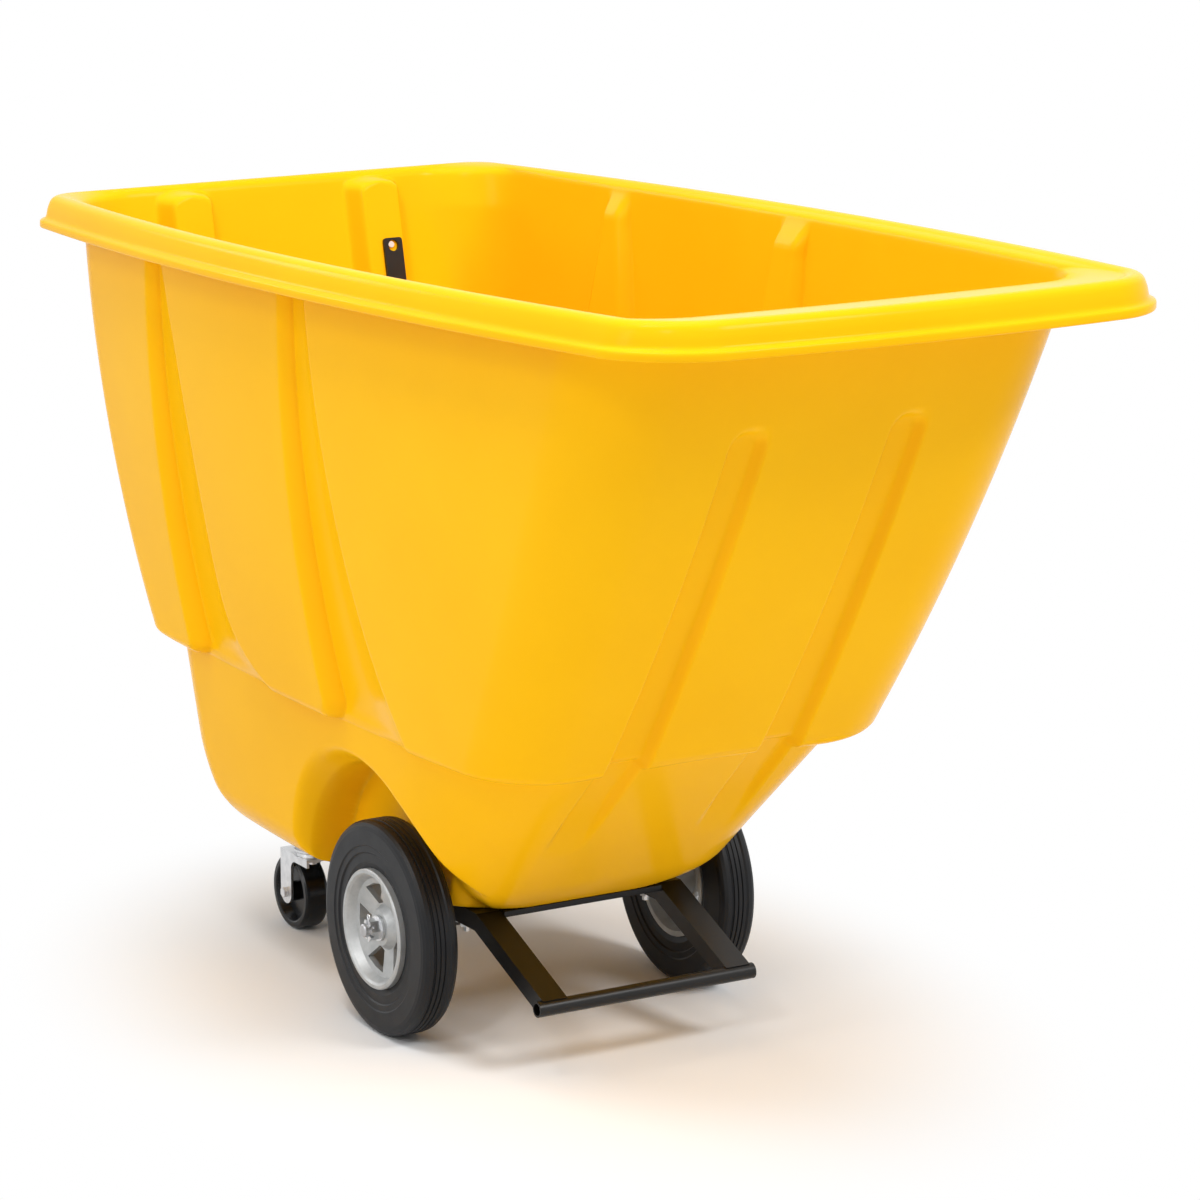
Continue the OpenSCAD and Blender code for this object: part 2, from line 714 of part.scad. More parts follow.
// Axle with its brackets, spacers, washers, slotted nuts and cotter pins
module axle() {
    color([0.62, 0.62, 0.62])
    difference() {
        union() {
            bar_x(-axle_end_x + 1.5, axle_end_x - 1.5, axle_y, axle_z, axle_d);
            for (side = [-1, 1]) {
                translate([side * (axle_end_x - 1.5), axle_y, axle_z]) rotate([0, side * 90, 0])
                    cylinder(d1 = axle_d, d2 = axle_d - 3, h = 1.5, $fn = 64);
            }
        }
        for (side = [-1, 1]) {
            translate([side * cotter_x, axle_y, axle_z - 20]) cylinder(d = cotter_d + 0.4, h = 40, $fn = 24);
        }
    }
}

module axle_bracket(side) {
    color([0.07, 0.07, 0.07])
    difference() {
        across(side * rail_x, bracket_w) {
            difference() {
                union() {
                    translate([axle_y - bracket_reach, rail_low_z - bracket_t])
                        square([2 * bracket_reach, bracket_t]);
                    intersection() {
                        translate([axle_y, axle_z]) circle(d = axle_d + 2 * bracket_t, $fn = 64);
                        translate([axle_y - bracket_reach, axle_z - axle_d])
                            square([2 * bracket_reach, axle_d]);
                    }
                    translate([axle_y - axle_d / 2 - bracket_t, axle_z])
                        square([axle_d + 2 * bracket_t, rail_low_z - axle_z]);
                }
                translate([axle_y, axle_z]) circle(d = axle_d + 2 * weld_gap, $fn = 64);
                translate([axle_y - axle_d / 2 - weld_gap, axle_z])
                    square([axle_d + 2 * weld_gap, rail_low_z - axle_z + 5]);
            }
        }
        for (dy = [-bracket_bolt_y, bracket_bolt_y]) {
            translate([side * rail_x, axle_y + dy, rail_low_z - bracket_t - 5])
                cylinder(d = bracket_bolt_d + hole_play, h = bracket_t + 10, $fn = 32);
        }
    }
}
module axle_bracket_left() { axle_bracket(-1); }
module axle_bracket_right() { axle_bracket(1); }

module axle_bracket_bolts() {
    color([0.75, 0.75, 0.76])
    for (side = [-1, 1]) for (dy = [-bracket_bolt_y, bracket_bolt_y]) {
        translate([side * rail_x, axle_y + dy, rail_low_z - bracket_t]) {
            translate([0, 0, -bracket_head_h]) cylinder(d = bracket_head_d, h = bracket_head_h, $fn = 6);
            translate([0, 0, -1]) cylinder(d = bracket_bolt_d, h = 1 + bracket_t + 14, $fn = 32);
        }
    }
}

module axle_spacers() {
    color([0.62, 0.62, 0.62])
    for (side = [-1, 1]) {
        difference() {
            bar_x(min(side * spacer_x0, side * spacer_x1), max(side * spacer_x0, side * spacer_x1),
                  axle_y, axle_z, spacer_d);
            bar_x(min(side * spacer_x0, side * spacer_x1) - 5, max(side * spacer_x0, side * spacer_x1) + 5,
                  axle_y, axle_z, axle_d + 2 * weld_gap);
        }
    }
}

module axle_washers() {
    color([0.75, 0.75, 0.76])
    for (side = [-1, 1]) {
        translate([side * washer_x0, axle_y, axle_z]) rotate([0, side * 90, 0])
            difference() {
                cylinder(d = axle_washer_d, h = washer_t, $fn = 64);
                translate([0, 0, -5]) cylinder(d = axle_d + 2 * weld_gap, h = 20, $fn = 64);
            }
    }
}

module axle_nuts() {
    color([0.75, 0.75, 0.76])
    for (side = [-1, 1]) {
        translate([side * nut_x0, axle_y, axle_z]) rotate([0, side * 90, 0])
            difference() {
                rotate([0, 0, 30]) cylinder(d = nut_d, h = nut_h, $fn = 6);
                translate([0, 0, -5]) cylinder(d = axle_d + 2 * weld_gap, h = nut_h + 10, $fn = 64);
                for (a = [0, 60, 120]) {
                    rotate([0, 0, a]) translate([-nut_d, -nut_slot_w / 2, nut_h - nut_slot_d])
                        cube([2 * nut_d, nut_slot_w, nut_slot_d + 5]);
                }
            }
    }
}

module cotter_pins() {
    color([0.75, 0.75, 0.76])
    for (side = [-1, 1]) {
        translate([side * cotter_x, axle_y, axle_z]) {
            translate([0, 0, -cotter_tail]) cylinder(d = cotter_d, h = 2 * cotter_tail - 1, $fn = 24);
            translate([0, 0, cotter_tail - 1 + cotter_eye_r - cotter_wire_d / 4]) rotate([0, 90, 0])
                rotate_extrude($fn = 32) translate([cotter_eye_r, 0]) circle(d = cotter_wire_d, $fn = 20);
        }
    }
}

// Main wheel: solid rubber tyre on a cast five-spoke hub with a roller bearing
module on_wheel(side) {
    translate([side * wheel_x, axle_y, axle_z]) rotate([0, side * 90, 0]) children();
}

function tyre_profile(r, w, b) = [
    [b, -w / 2 + 6], [b + 9, -w / 2 + 3], [b + 21, -w / 2 + 3.5], [b + 23, -w / 2 + 1.5],
    [b + 31, -w / 2 + 1.5], [b + 33, -w / 2], [r - 13, -w / 2], [r - 8, -w / 2 + 1],
    [r - 3.4, -w / 2 + 3.6], [r - 0.8, -w / 2 + 8],
    [r, -w / 2 + 14], [r - tread_d, -w / 2 + 16.6], [r - tread_d, -w / 2 + 18], [r, -w / 2 + 18.6],
    [r, -5], [r - tread_d, -4.4], [r - tread_d, -3], [r, -2.4],
    [r, 2.4], [r - tread_d, 3], [r - tread_d, 4.4], [r, 5],
    [r, w / 2 - 18.6], [r - tread_d, w / 2 - 18], [r - tread_d, w / 2 - 16.6], [r, w / 2 - 14],
    [r - 0.8, w / 2 - 8], [r - 3.4, w / 2 - 3.6],
    [r - 8, w / 2 - 1], [r - 13, w / 2], [b + 33, w / 2], [b + 31, w / 2 - 1.5],
    [b + 23, w / 2 - 1.5], [b + 21, w / 2 - 3.5], [b + 9, w / 2 - 3], [b, w / 2 - 6]
];

module tyre(side) {
    color([0.05, 0.05, 0.055])
    on_wheel(side) rotate_extrude($fn = 96) polygon(tyre_profile(tyre_d / 2, tyre_w, rim_d / 2 + seat_gap));
}
module tyre_left() { tyre(-1); }
module tyre_right() { tyre(1); }

module hub(side) {
    color([0.62, 0.63, 0.63])
    on_wheel(side)
    difference() {
        rotate_extrude($fn = 96)
            polygon([
                [bearing_od / 2 + seat_gap, hub_in], [hub_boss_r, hub_in], [hub_boss_r + 4, web_z - web_t],
                [rim_d / 2 - 12, web_z + web_dish - web_t], [rim_d / 2 - 8, -tyre_w / 2 + 4],
                [rim_d / 2, -tyre_w / 2 + 4], [rim_d / 2, tyre_w / 2 + hub_proud - 2],
                [rim_d / 2 - 2, tyre_w / 2 + hub_proud], [rim_d / 2 - 6, tyre_w / 2 + hub_proud],
                [rim_d / 2 - 9, tyre_w / 2 + hub_proud - 3], [rim_d / 2 - 15, web_z + web_dish],
                [hub_boss_r + 5, web_z], [hub_boss_r, hub_out - 3], [hub_boss_r - 2, hub_out],
                [bearing_od / 2 + seat_gap, hub_out]
            ]);
        for (a = [0:72:288]) {
            rotate([0, 0, a + window_turn]) translate([0, 0, web_z - 30])
                linear_extrude(height = 60)
                    polygon([
                        [window_r0, -window_w0 / 2], [window_r1, -window_w1 / 2],
                        [window_r1 + 3, 0], [window_r1, window_w1 / 2], [window_r0, window_w0 / 2]
                    ]);
        }
    }
}
module hub_left() { hub(-1); }
module hub_right() { hub(1); }

module bearing(side) {
    color([0.75, 0.75, 0.76])
    on_wheel(side)
    translate([0, 0, hub_in])
    difference() {
        cylinder(d = bearing_od, h = hub_out - hub_in + bearing_proud, $fn = 64);
        translate([0, 0, -5]) cylinder(d = axle_d + 2 * run_play, h = hub_out - hub_in + 20, $fn = 64);
        translate([0, 0, hub_out - hub_in + bearing_proud - 2.5]) difference() {
            cylinder(d = bearing_od - 5, h = 5, $fn = 64);
            cylinder(d = axle_d + 9, h = 5, $fn = 64);
        }
    }
}
module bearing_left() { bearing(-1); }
module bearing_right() { bearing(1); }

// Fasteners that hold the tub on the rails
module tub_bolt_places() {
    for (side = [-1, 1]) for (y = tub_bolt_y) translate([side * rail_x, y, 0]) children();
}
module tub_bolts() {
    color([0.75, 0.75, 0.76])
    tub_bolt_places() {
        translate([0, 0, rail_low_z - 18])
            cylinder(d = tub_bolt_d, h = floor_z + wall - rail_low_z + 19, $fn = 32);
        translate([0, 0, floor_z + wall + 0.2])
            cylinder(d1 = tub_head_d, d2 = 0.58 * tub_head_d, h = tub_head_h, $fn = 48);
    }
}
module tub_washers() {
    color([0.75, 0.75, 0.76])
    tub_bolt_places()
        translate([0, 0, rail_low_z - tub_washer_t]) difference() {
            cylinder(d = tub_washer_d, h = tub_washer_t, $fn = 48);
            translate([0, 0, -5]) cylinder(d = tub_bolt_d + hole_play, h = 20, $fn = 32);
        }
}
module tub_nuts() {
    color([0.75, 0.75, 0.76])
    tub_bolt_places()
        translate([0, 0, rail_low_z - tub_washer_t - tub_nut_h]) difference() {
            cylinder(d = tub_nut_d, h = tub_nut_h, $fn = 6);
            translate([0, 0, -5]) cylinder(d = tub_bolt_d + 2 * weld_gap, h = 20, $fn = 32);
        }
}

// Push handle on the rear wall: plates in the two grooves, straps inside, a bent tube
rear_run = (rear_top_y - rear_belt_y) / (top_z - belt_z);
handle_level = rim_h - 187;
handle_tilt = (handle_level - belt_z) / (rim_h - belt_z);
seat_y = rear_belt_y + rear_run * (handle_level - belt_z) - rear_groove_d;
seat_z = handle_level - seat_y * climb * handle_tilt;
seat_angle = atan2(rear_run, 1 - seat_y * climb / (rim_h - belt_z) - rear_run * climb * handle_tilt);
skin_t = wall * cos(seat_angle);
module on_seat(x) {
    translate([x, seat_y, seat_z]) rotate([-seat_angle, 0, 0]) children();
}
// Bar along the seat's outward direction, from y0 to y1
module bar_y(y0, y1, z, d, n) {
    translate([0, y0, z]) rotate([-90, 0, 0]) cylinder(d = d, h = y1 - y0, $fn = n);
}

module handle_plate(side) {
    color([0.07, 0.07, 0.07])
    on_seat(side * handle_x) difference() {
        translate([-plate_w / 2, seat_play, plate_z0]) cube([plate_w, plate_t, plate_z1 - plate_z0]);
        for (z = handle_bolt_z) {
            bar_y(-5, plate_t + 10, z, handle_bolt_d + hole_play, 32);
        }
    }
}
module handle_plate_left() { handle_plate(-1); }
module handle_plate_right() { handle_plate(1); }

// Centre line of the handle in its seat's plane: [x, y, heading]
handle_leg = handle_out - handle_bend;
handle_root = seat_play + plate_t + weld_gap;
handle_line = concat(
    [[handle_x, handle_root, 0]],
    [for (a = [0:15:90])
        [handle_x - handle_bend * (1 - cos(a)), handle_leg + handle_bend * sin(a), a]],
    [for (a = [90:-15:0])
        [-handle_x + handle_bend * (1 - cos(a)), handle_leg + handle_bend * sin(a), 180 - a]],
    [[-handle_x, handle_root, 180]]
);
// Round section of the handle at a point of its centre line
function handle_ring(p) = [
    for (t = [0:11.25:348.75])
        [p[0] + handle_d / 2 * cos(t) * cos(p[2]), p[1] + handle_d / 2 * cos(t) * sin(p[2]),
         -handle_d / 2 * sin(t)]
];
module handle() {
    color([0.07, 0.07, 0.07])
    on_seat(0) stack([for (p = handle_line) handle_ring(p)]);
}

module strap(side) {
    color([0.05, 0.05, 0.05])
    on_seat(side * strap_x) difference() {
        translate([0, -skin_t - strap_play - strap_t, 0]) union() {
            translate([-strap_w / 2 + strap_r, 0, strap_z0])
                cube([strap_w - 2 * strap_r, strap_t, strap_z1 - strap_z0]);
            translate([-strap_w / 2, 0, strap_z0 + strap_r])
                cube([strap_w, strap_t, strap_z1 - strap_z0 - 2 * strap_r]);
            for (sx = [-1, 1]) for (z = [strap_z0 + strap_r, strap_z1 - strap_r]) {
                translate([sx * (strap_w / 2 - strap_r), 0, 0]) bar_y(0, strap_t, z, 2 * strap_r, 32);
            }
        }
        bar_y(-skin_t - 20, 0, strap_hole_z, strap_hole_d, 48);
        for (z = [handle_bolt_z[1], strap_bolt_z]) {
            translate([side * (handle_x - strap_x), 0, 0])
                bar_y(-skin_t - 20, 0, z, handle_bolt_d + hole_play, 32);
        }
    }
}
module strap_left() { strap(-1); }
module strap_right() { strap(1); }

module handle_bolts() {
    color([0.75, 0.75, 0.76])
    for (side = [-1, 1]) on_seat(side * handle_x) {
        translate([0, seat_play + plate_t, 0]) {
            for (z = handle_bolt_z) bar_y(0, handle_head_h, z, handle_head_d, 6);
        }
        bar_y(-skin_t - 3, seat_play + plate_t + 1, handle_bolt_z[0], handle_bolt_d, 32);
        bar_y(-skin_t - strap_t - 13, seat_play + plate_t + 1, handle_bolt_z[1], handle_bolt_d, 32);
        bar_y(-skin_t - strap_t - 13, 1, strap_bolt_z, handle_bolt_d, 32);
        bar_y(0.2, handle_head_h, strap_bolt_z, handle_head_d, 6);
    }
}
module handle_nuts() {
    color([0.75, 0.75, 0.76])
    for (side = [-1, 1]) on_seat(side * handle_x) {
        for (z = [handle_bolt_z[1], strap_bolt_z]) {
            difference() {
                bar_y(-skin_t - strap_play - strap_t - handle_nut_h, -skin_t - strap_play - strap_t, z,
                      handle_head_d, 6);
                bar_y(-skin_t - 4 * handle_nut_h, handle_nut_h, z, handle_bolt_d + 2 * weld_gap, 32);
            }
        }
    }
}

// Swivel casters
module on_caster(side) {
    translate([side * caster_x, caster_y, 0]) children();
}
module caster_bolt_places(side) {
    on_caster(side)
    for (x = [-caster_hole_x / 2, caster_hole_x / 2]) for (y = [-caster_hole_y / 2, caster_hole_y / 2]) {
        translate([x, y, 0]) children();
    }
}
caster_top_z = rail_low_z - carrier_t;
caster_plate_z = caster_top_z - caster_plate_t;
crown_z = caster_d / 2 + caster_d / 2 + crown_gap;
boss_z = crown_z + crown_t + boss_h;
cup_z = caster_plate_z - cup_h;

module caster_plate(side) {
    color([0.75, 0.75, 0.76])
    on_caster(side) difference() {
        union() {
            translate([-caster_plate_x / 2 + 8, -caster_plate_y / 2, caster_plate_z])
                cube([caster_plate_x - 16, caster_plate_y, caster_plate_t]);
            translate([-caster_plate_x / 2, -caster_plate_y / 2 + 8, caster_plate_z])
                cube([caster_plate_x, caster_plate_y - 16, caster_plate_t]);
            for (x = [-1, 1]) for (y = [-1, 1]) {
                translate([x * (caster_plate_x / 2 - 8), y * (caster_plate_y / 2 - 8), caster_plate_z])
                    cylinder(r = 8, h = caster_plate_t, $fn = 32);
            }
            translate([0, 0, cup_z]) cylinder(d1 = 54, d2 = 60, h = cup_h + 1, $fn = 64);
        }
        translate([0, 0, cup_z - 5]) cylinder(d = kingpin_d + 2 * weld_gap, h = 40, $fn = 48);
        for (x = [-caster_hole_x / 2, caster_hole_x / 2]) for (y = [-caster_hole_y / 2, caster_hole_y / 2]) {
            translate([x, y, caster_plate_z - 5]) cylinder(d = caster_bolt_d + hole_play, h = 20, $fn = 32);
        }
    }
}
module caster_plate_left() { caster_plate(-1); }
module caster_plate_right() { caster_plate(1); }

module kingpin(side) {
    color([0.75, 0.75, 0.76])
    on_caster(side) {
        translate([0, 0, crown_z - 11])
            cylinder(d = kingpin_d, h = caster_top_z - 0.3 - crown_z + 11, $fn = 48);
    }
}
module kingpin_left() { kingpin(-1); }
module kingpin_right() { kingpin(1); }

module kingpin_nuts() {
    color([0.75, 0.75, 0.76])
    for (side = [-1, 1]) on_caster(side) difference() {
        translate([0, 0, crown_z - 0.3 - kingpin_nut_h])
            cylinder(d = kingpin_nut_d, h = kingpin_nut_h, $fn = 6);
        translate([0, 0, crown_z - 30]) cylinder(d = kingpin_d + 2 * weld_gap, h = 40, $fn = 48);
    }
}

module swivel_race(side) {
    h = cup_z - boss_z - 0.4;
    color([0.7, 0.7, 0.71])
    on_caster(side) translate([0, 0, boss_z + 0.15]) rotate_extrude($fn = 64)
        polygon([
            [kingpin_d / 2 + 8, 0], [24, 0], [28, 0.18 * h], [28, 0.36 * h], [25, 0.5 * h],
            [28.5, 0.64 * h], [28.5, 0.84 * h], [26, h], [kingpin_d / 2 + 8, h]
        ]);
}
module swivel_race_left() { swivel_race(-1); }
module swivel_race_right() { swivel_race(1); }

module caster_leg() {
    union() {
        translate([caster_trail - leg_w / 2, caster_d / 2]) square([leg_w, crown_z + crown_t - caster_d / 2]);
        translate([caster_trail, caster_d / 2]) circle(d = leg_w, $fn = 48);
        translate([-crown_front, crown_z - crown_skirt])
            square([crown_front + caster_trail, crown_skirt + crown_t]);
        difference() {
            translate([caster_trail - leg_w / 2 - leg_fillet, crown_z - crown_skirt - leg_fillet])
                square([leg_fillet + 2, leg_fillet + 2]);
            translate([caster_trail - leg_w / 2 - leg_fillet, crown_z - crown_skirt - leg_fillet])
                circle(r = leg_fillet, $fn = 48);
        }
    }
}
module caster_fork(side) {
    color([0.72, 0.72, 0.73])
    on_caster(side) difference() {
        union() {
            for (sx = [-1, 1]) {
                across(sx * (fork_in / 2 + leg_t / 2), leg_t) caster_leg();
            }
            translate([-fork_in / 2 - 1, -crown_front, crown_z])
                cube([fork_in + 2, crown_front + caster_trail + leg_w / 2, crown_t]);
            translate([0, 0, crown_z]) cylinder(d = 56, h = crown_t, $fn = 64);
            translate([0, 0, crown_z]) cylinder(d1 = 50, d2 = 46, h = crown_t + boss_h, $fn = 64);
        }
        translate([0, 0, crown_z - 20]) cylinder(d = kingpin_d + 2 * run_play, h = 60, $fn = 48);
        bar_x(-40, 40, caster_trail, caster_d / 2, caster_axle_d + 2 * weld_gap);
    }
}
module caster_fork_left() { caster_fork(-1); }
module caster_fork_right() { caster_fork(1); }

// The axle bolt's head sits on the outer side of the truck
fork_out = fork_in / 2 + leg_t;
module caster_axle(side) {
    color([0.75, 0.75, 0.76])
    on_caster(side) translate([0, caster_trail, caster_d / 2]) rotate([0, side * 90, 0]) {
        translate([0, 0, -fork_out - 11]) cylinder(d = caster_axle_d, h = 2 * fork_out + 12, $fn = 48);
        translate([0, 0, fork_out]) cylinder(d = axle_head_d, h = axle_head_h, $fn = 6);
    }
}
module caster_axle_left() { caster_axle(-1); }
module caster_axle_right() { caster_axle(1); }

module caster_axle_nuts(side) {
    color([0.75, 0.75, 0.76])
    on_caster(side) translate([0, caster_trail, caster_d / 2]) rotate([0, side * 90, 0])
        translate([0, 0, -fork_out - axle_nut_h]) difference() {
            cylinder(d = axle_head_d, h = axle_nut_h, $fn = 6);
            translate([0, 0, -5]) cylinder(d = caster_axle_d + 2 * weld_gap, h = 20, $fn = 48);
        }
}
module caster_axle_nut_left() { caster_axle_nuts(-1); }
module caster_axle_nut_right() { caster_axle_nuts(1); }

module caster_bushing(side) {
    color([0.62, 0.62, 0.62])
    on_caster(side) difference() {
        bar_x(-fork_in / 2, fork_in / 2, caster_trail, caster_d / 2, bushing_d);
        bar_x(-fork_in, fork_in, caster_trail, caster_d / 2, caster_axle_d + 2 * weld_gap);
    }
}
module caster_bushing_left() { caster_bushing(-1); }
module caster_bushing_right() { caster_bushing(1); }

module caster_wheel(side) {
    r = caster_d / 2;
    w = caster_w / 2;
    b = bushing_d / 2 + run_play;
    h = fork_in / 2 - caster_side_play;
    color([0.04, 0.04, 0.045])
    on_caster(side) translate([0, caster_trail, r]) rotate([0, 90, 0]) rotate_extrude($fn = 96)
        polygon([
            [b, -h], [14, -h], [15, -6], [r - 18, -5], [r - 12, -w + 1], [r - 10, -w],
            [r - 4, -w], [r - 1.2, -w + 2.2], [r, -w + 6], [r, w - 6], [r - 1.2, w - 2.2], [r - 4, w],
            [r - 10, w], [r - 12, w - 1], [r - 18, 5], [15, 6], [14, h], [b, h]
        ]);
}
module caster_wheel_left() { caster_wheel(-1); }
module caster_wheel_right() { caster_wheel(1); }

module caster_bolts() {
    color([0.75, 0.75, 0.76])
    for (side = [-1, 1]) caster_bolt_places(side) {
        translate([0, 0, caster_plate_z - caster_head_h])
            cylinder(d = caster_head_d, h = caster_head_h, $fn = 6);
        translate([0, 0, caster_plate_z - 1])
            cylinder(d = caster_bolt_d, h = caster_plate_t + carrier_t + 12, $fn = 32);
    }
}
module caster_nuts() {
    color([0.75, 0.75, 0.76])
    for (side = [-1, 1]) caster_bolt_places(side)
        translate([0, 0, rail_low_z]) difference() {
            cylinder(d = caster_head_d, h = caster_nut_h, $fn = 6);
            translate([0, 0, -5]) cylinder(d = caster_bolt_d + 2 * weld_gap, h = 20, $fn = 32);
        }
}

tub();
rail_left();
rail_right();
front_crossbar();
rear_crossbar();
tip_bar();
caster_carrier();
axle();
axle_bracket_left();
axle_bracket_right();
axle_bracket_bolts();
axle_spacers();
axle_washers();
axle_nuts();
cotter_pins();
tyre_left();
tyre_right();
hub_left();
hub_right();
bearing_left();
bearing_right();
tub_bolts();
tub_washers();
tub_nuts();
handle();
handle_plate_left();
handle_plate_right();
handle_bolts();
handle_nuts();
strap_left();
strap_right();
caster_plate_left();
caster_plate_right();
kingpin_left();
kingpin_right();
kingpin_nuts();
swivel_race_left();
swivel_race_right();
caster_fork_left();
caster_fork_right();
caster_axle_left();
caster_axle_right();
caster_axle_nut_left();
caster_axle_nut_right();
caster_bushing_left();
caster_bushing_right();
caster_wheel_left();
caster_wheel_right();
caster_bolts();
caster_nuts();
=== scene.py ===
import json
import math

import bpy
import numpy as np
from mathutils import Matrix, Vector


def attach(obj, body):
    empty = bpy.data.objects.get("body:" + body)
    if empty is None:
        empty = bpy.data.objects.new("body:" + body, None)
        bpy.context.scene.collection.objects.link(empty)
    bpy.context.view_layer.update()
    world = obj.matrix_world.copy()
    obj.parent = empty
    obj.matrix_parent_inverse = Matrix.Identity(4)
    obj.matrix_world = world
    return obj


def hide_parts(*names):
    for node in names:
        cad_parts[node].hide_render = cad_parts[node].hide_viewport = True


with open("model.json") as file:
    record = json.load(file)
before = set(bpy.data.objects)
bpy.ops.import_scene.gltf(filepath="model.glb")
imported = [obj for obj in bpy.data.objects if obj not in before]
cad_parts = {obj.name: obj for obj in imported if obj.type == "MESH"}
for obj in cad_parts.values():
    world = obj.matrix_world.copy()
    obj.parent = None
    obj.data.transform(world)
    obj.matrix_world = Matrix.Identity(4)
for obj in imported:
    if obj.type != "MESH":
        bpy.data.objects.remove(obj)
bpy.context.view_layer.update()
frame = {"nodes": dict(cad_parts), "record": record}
NODES = frame["nodes"]
scene = bpy.context.scene

# ---------------------------------------------------------------- materials


def new_material(name):
    mat = bpy.data.materials.new(name)
    mat.use_nodes = True
    nt = mat.node_tree
    nt.nodes.clear()
    out = nt.nodes.new("ShaderNodeOutputMaterial")
    bsdf = nt.nodes.new("ShaderNodeBsdfPrincipled")
    nt.links.new(bsdf.outputs["BSDF"], out.inputs["Surface"])
    return mat, nt, bsdf


def object_coords(nt):
    return nt.nodes.new("ShaderNodeTexCoord").outputs["Object"]


def noise(nt, vec, scale, detail, rough):
    n = nt.nodes.new("ShaderNodeTexNoise")
    n.inputs["Scale"].default_value = scale
    n.inputs["Detail"].default_value = detail
    n.inputs["Roughness"].default_value = rough
    nt.links.new(vec, n.inputs["Vector"])
    return n.outputs["Fac"]


def ramp(nt, fac, stops):
    """Colour between two stops, each a place and a colour."""
    r = nt.nodes.new("ShaderNodeValToRGB")
    for element, (place, colour) in zip(r.color_ramp.elements, stops):
        element.position = place
        element.color = (*colour, 1.0)
    nt.links.new(fac, r.inputs["Fac"])
    return r.outputs["Color"]


def rough_range(nt, bsdf, fac, lo, hi):
    m = nt.nodes.new("ShaderNodeMapRange")
    m.inputs["To Min"].default_value = lo
    m.inputs["To Max"].default_value = hi
    nt.links.new(fac, m.inputs["Value"])
    nt.links.new(m.outputs["Result"], bsdf.inputs["Roughness"])


def bump(nt, bsdf, fac, strength, distance):
    b = nt.nodes.new("ShaderNodeBump")
    b.inputs["Strength"].default_value = strength
    b.inputs["Distance"].default_value = distance
    nt.links.new(fac, b.inputs["Height"])
    nt.links.new(b.outputs["Normal"], bsdf.inputs["Normal"])


def make_tub_plastic():
    mat, nt, b = new_material("tub_plastic")
    v = object_coords(nt)
    big = noise(nt, v, 2.2, 3.0, 0.55)
    col = ramp(nt, big, [(0.3, (0.95, 0.490, 0.004)), (0.7, (0.99, 0.535, 0.006))])
    nt.links.new(col, b.inputs["Base Color"])
    rough_range(nt, b, noise(nt, v, 9.0, 4.0, 0.6), 0.15, 0.22)
    bump(nt, b, noise(nt, v, 260.0, 2.0, 0.5), 0.05, 0.0006)
    b.inputs["Specular IOR Level"].default_value = 0.035
    return mat


def make_rubber(name, tone, rough):
    mat, nt, b = new_material(name)
    v = object_coords(nt)
    n1 = noise(nt, v, 14.0, 5.0, 0.6)
    dark = tuple(0.75 * c for c in tone)
    light = tuple(1.45 * c for c in tone)
    nt.links.new(ramp(nt, n1, [(0.3, dark), (0.75, light)]), b.inputs["Base Color"])
    rough_range(nt, b, noise(nt, v, 40.0, 4.0, 0.6), rough - 0.07, rough + 0.08)
    bump(nt, b, noise(nt, v, 700.0, 2.0, 0.6), 0.12, 0.0004)
    b.inputs["Specular IOR Level"].default_value = 0.30
    return mat


def make_paint():
    mat, nt, b = new_material("frame_paint")
    v = object_coords(nt)
    n1 = noise(nt, v, 20.0, 4.0, 0.6)
    tones = [(0.3, (0.0030, 0.0028, 0.0028)), (0.8, (0.0075, 0.0068, 0.0065))]
    nt.links.new(ramp(nt, n1, tones), b.inputs["Base Color"])
    rough_range(nt, b, noise(nt, v, 60.0, 3.0, 0.5), 0.26, 0.40)
    bump(nt, b, noise(nt, v, 500.0, 2.0, 0.5), 0.10, 0.0004)
    b.inputs["Specular IOR Level"].default_value = 0.35
    return mat


def make_metal(name, dark, light, rough, scale, metallic):
    mat, nt, b = new_material(name)
    v = object_coords(nt)
    n1 = noise(nt, v, scale, 5.0, 0.65)
    nt.links.new(ramp(nt, n1, [(0.3, dark), (0.72, light)]), b.inputs["Base Color"])
    b.inputs["Metallic"].default_value = metallic
    rough_range(nt, b, noise(nt, v, scale * 2.5, 4.0, 0.6), rough - 0.08, rough + 0.10)
    bump(nt, b, noise(nt, v, scale * 12, 2.0, 0.6), 0.08, 0.0003)
    return mat


MATS = {
    "tub_plastic": make_tub_plastic(),
    "tyre_rubber": make_rubber("tyre_rubber", (0.0040, 0.0045, 0.0060), 0.46),
    "hub_cast": make_metal("hub_cast", (0.36, 0.37, 0.37), (0.50, 0.51, 0.51), 0.42, 40.0, 0.55),
    "caster_tread": make_rubber("caster_tread", (0.0035, 0.0040, 0.0050), 0.24),
    "frame_paint": make_paint(),
    "axle_steel": make_metal("axle_steel", (0.38, 0.38, 0.39), (0.55, 0.55, 0.56), 0.36, 60.0, 1.0),
    "zinc": make_metal("zinc", (0.55, 0.56, 0.57), (0.74, 0.74, 0.75), 0.30, 70.0, 1.0),
}
SLOT_OF = {s["node"]: s["material_slot"] for s in frame["record"]["subparts"]}

for name, obj in NODES.items():
    obj.data.materials.clear()
    obj.data.materials.append(MATS[SLOT_OF[name]])

# ---------------------------------------------------------------- moulded tub
#
# The tub is one skin of closed rings, in millimetres: up the outside from the floor to the rim, round the lip and down
# the inside. Each ring runs across the front, then along the right side (+X), the rear and the left side.

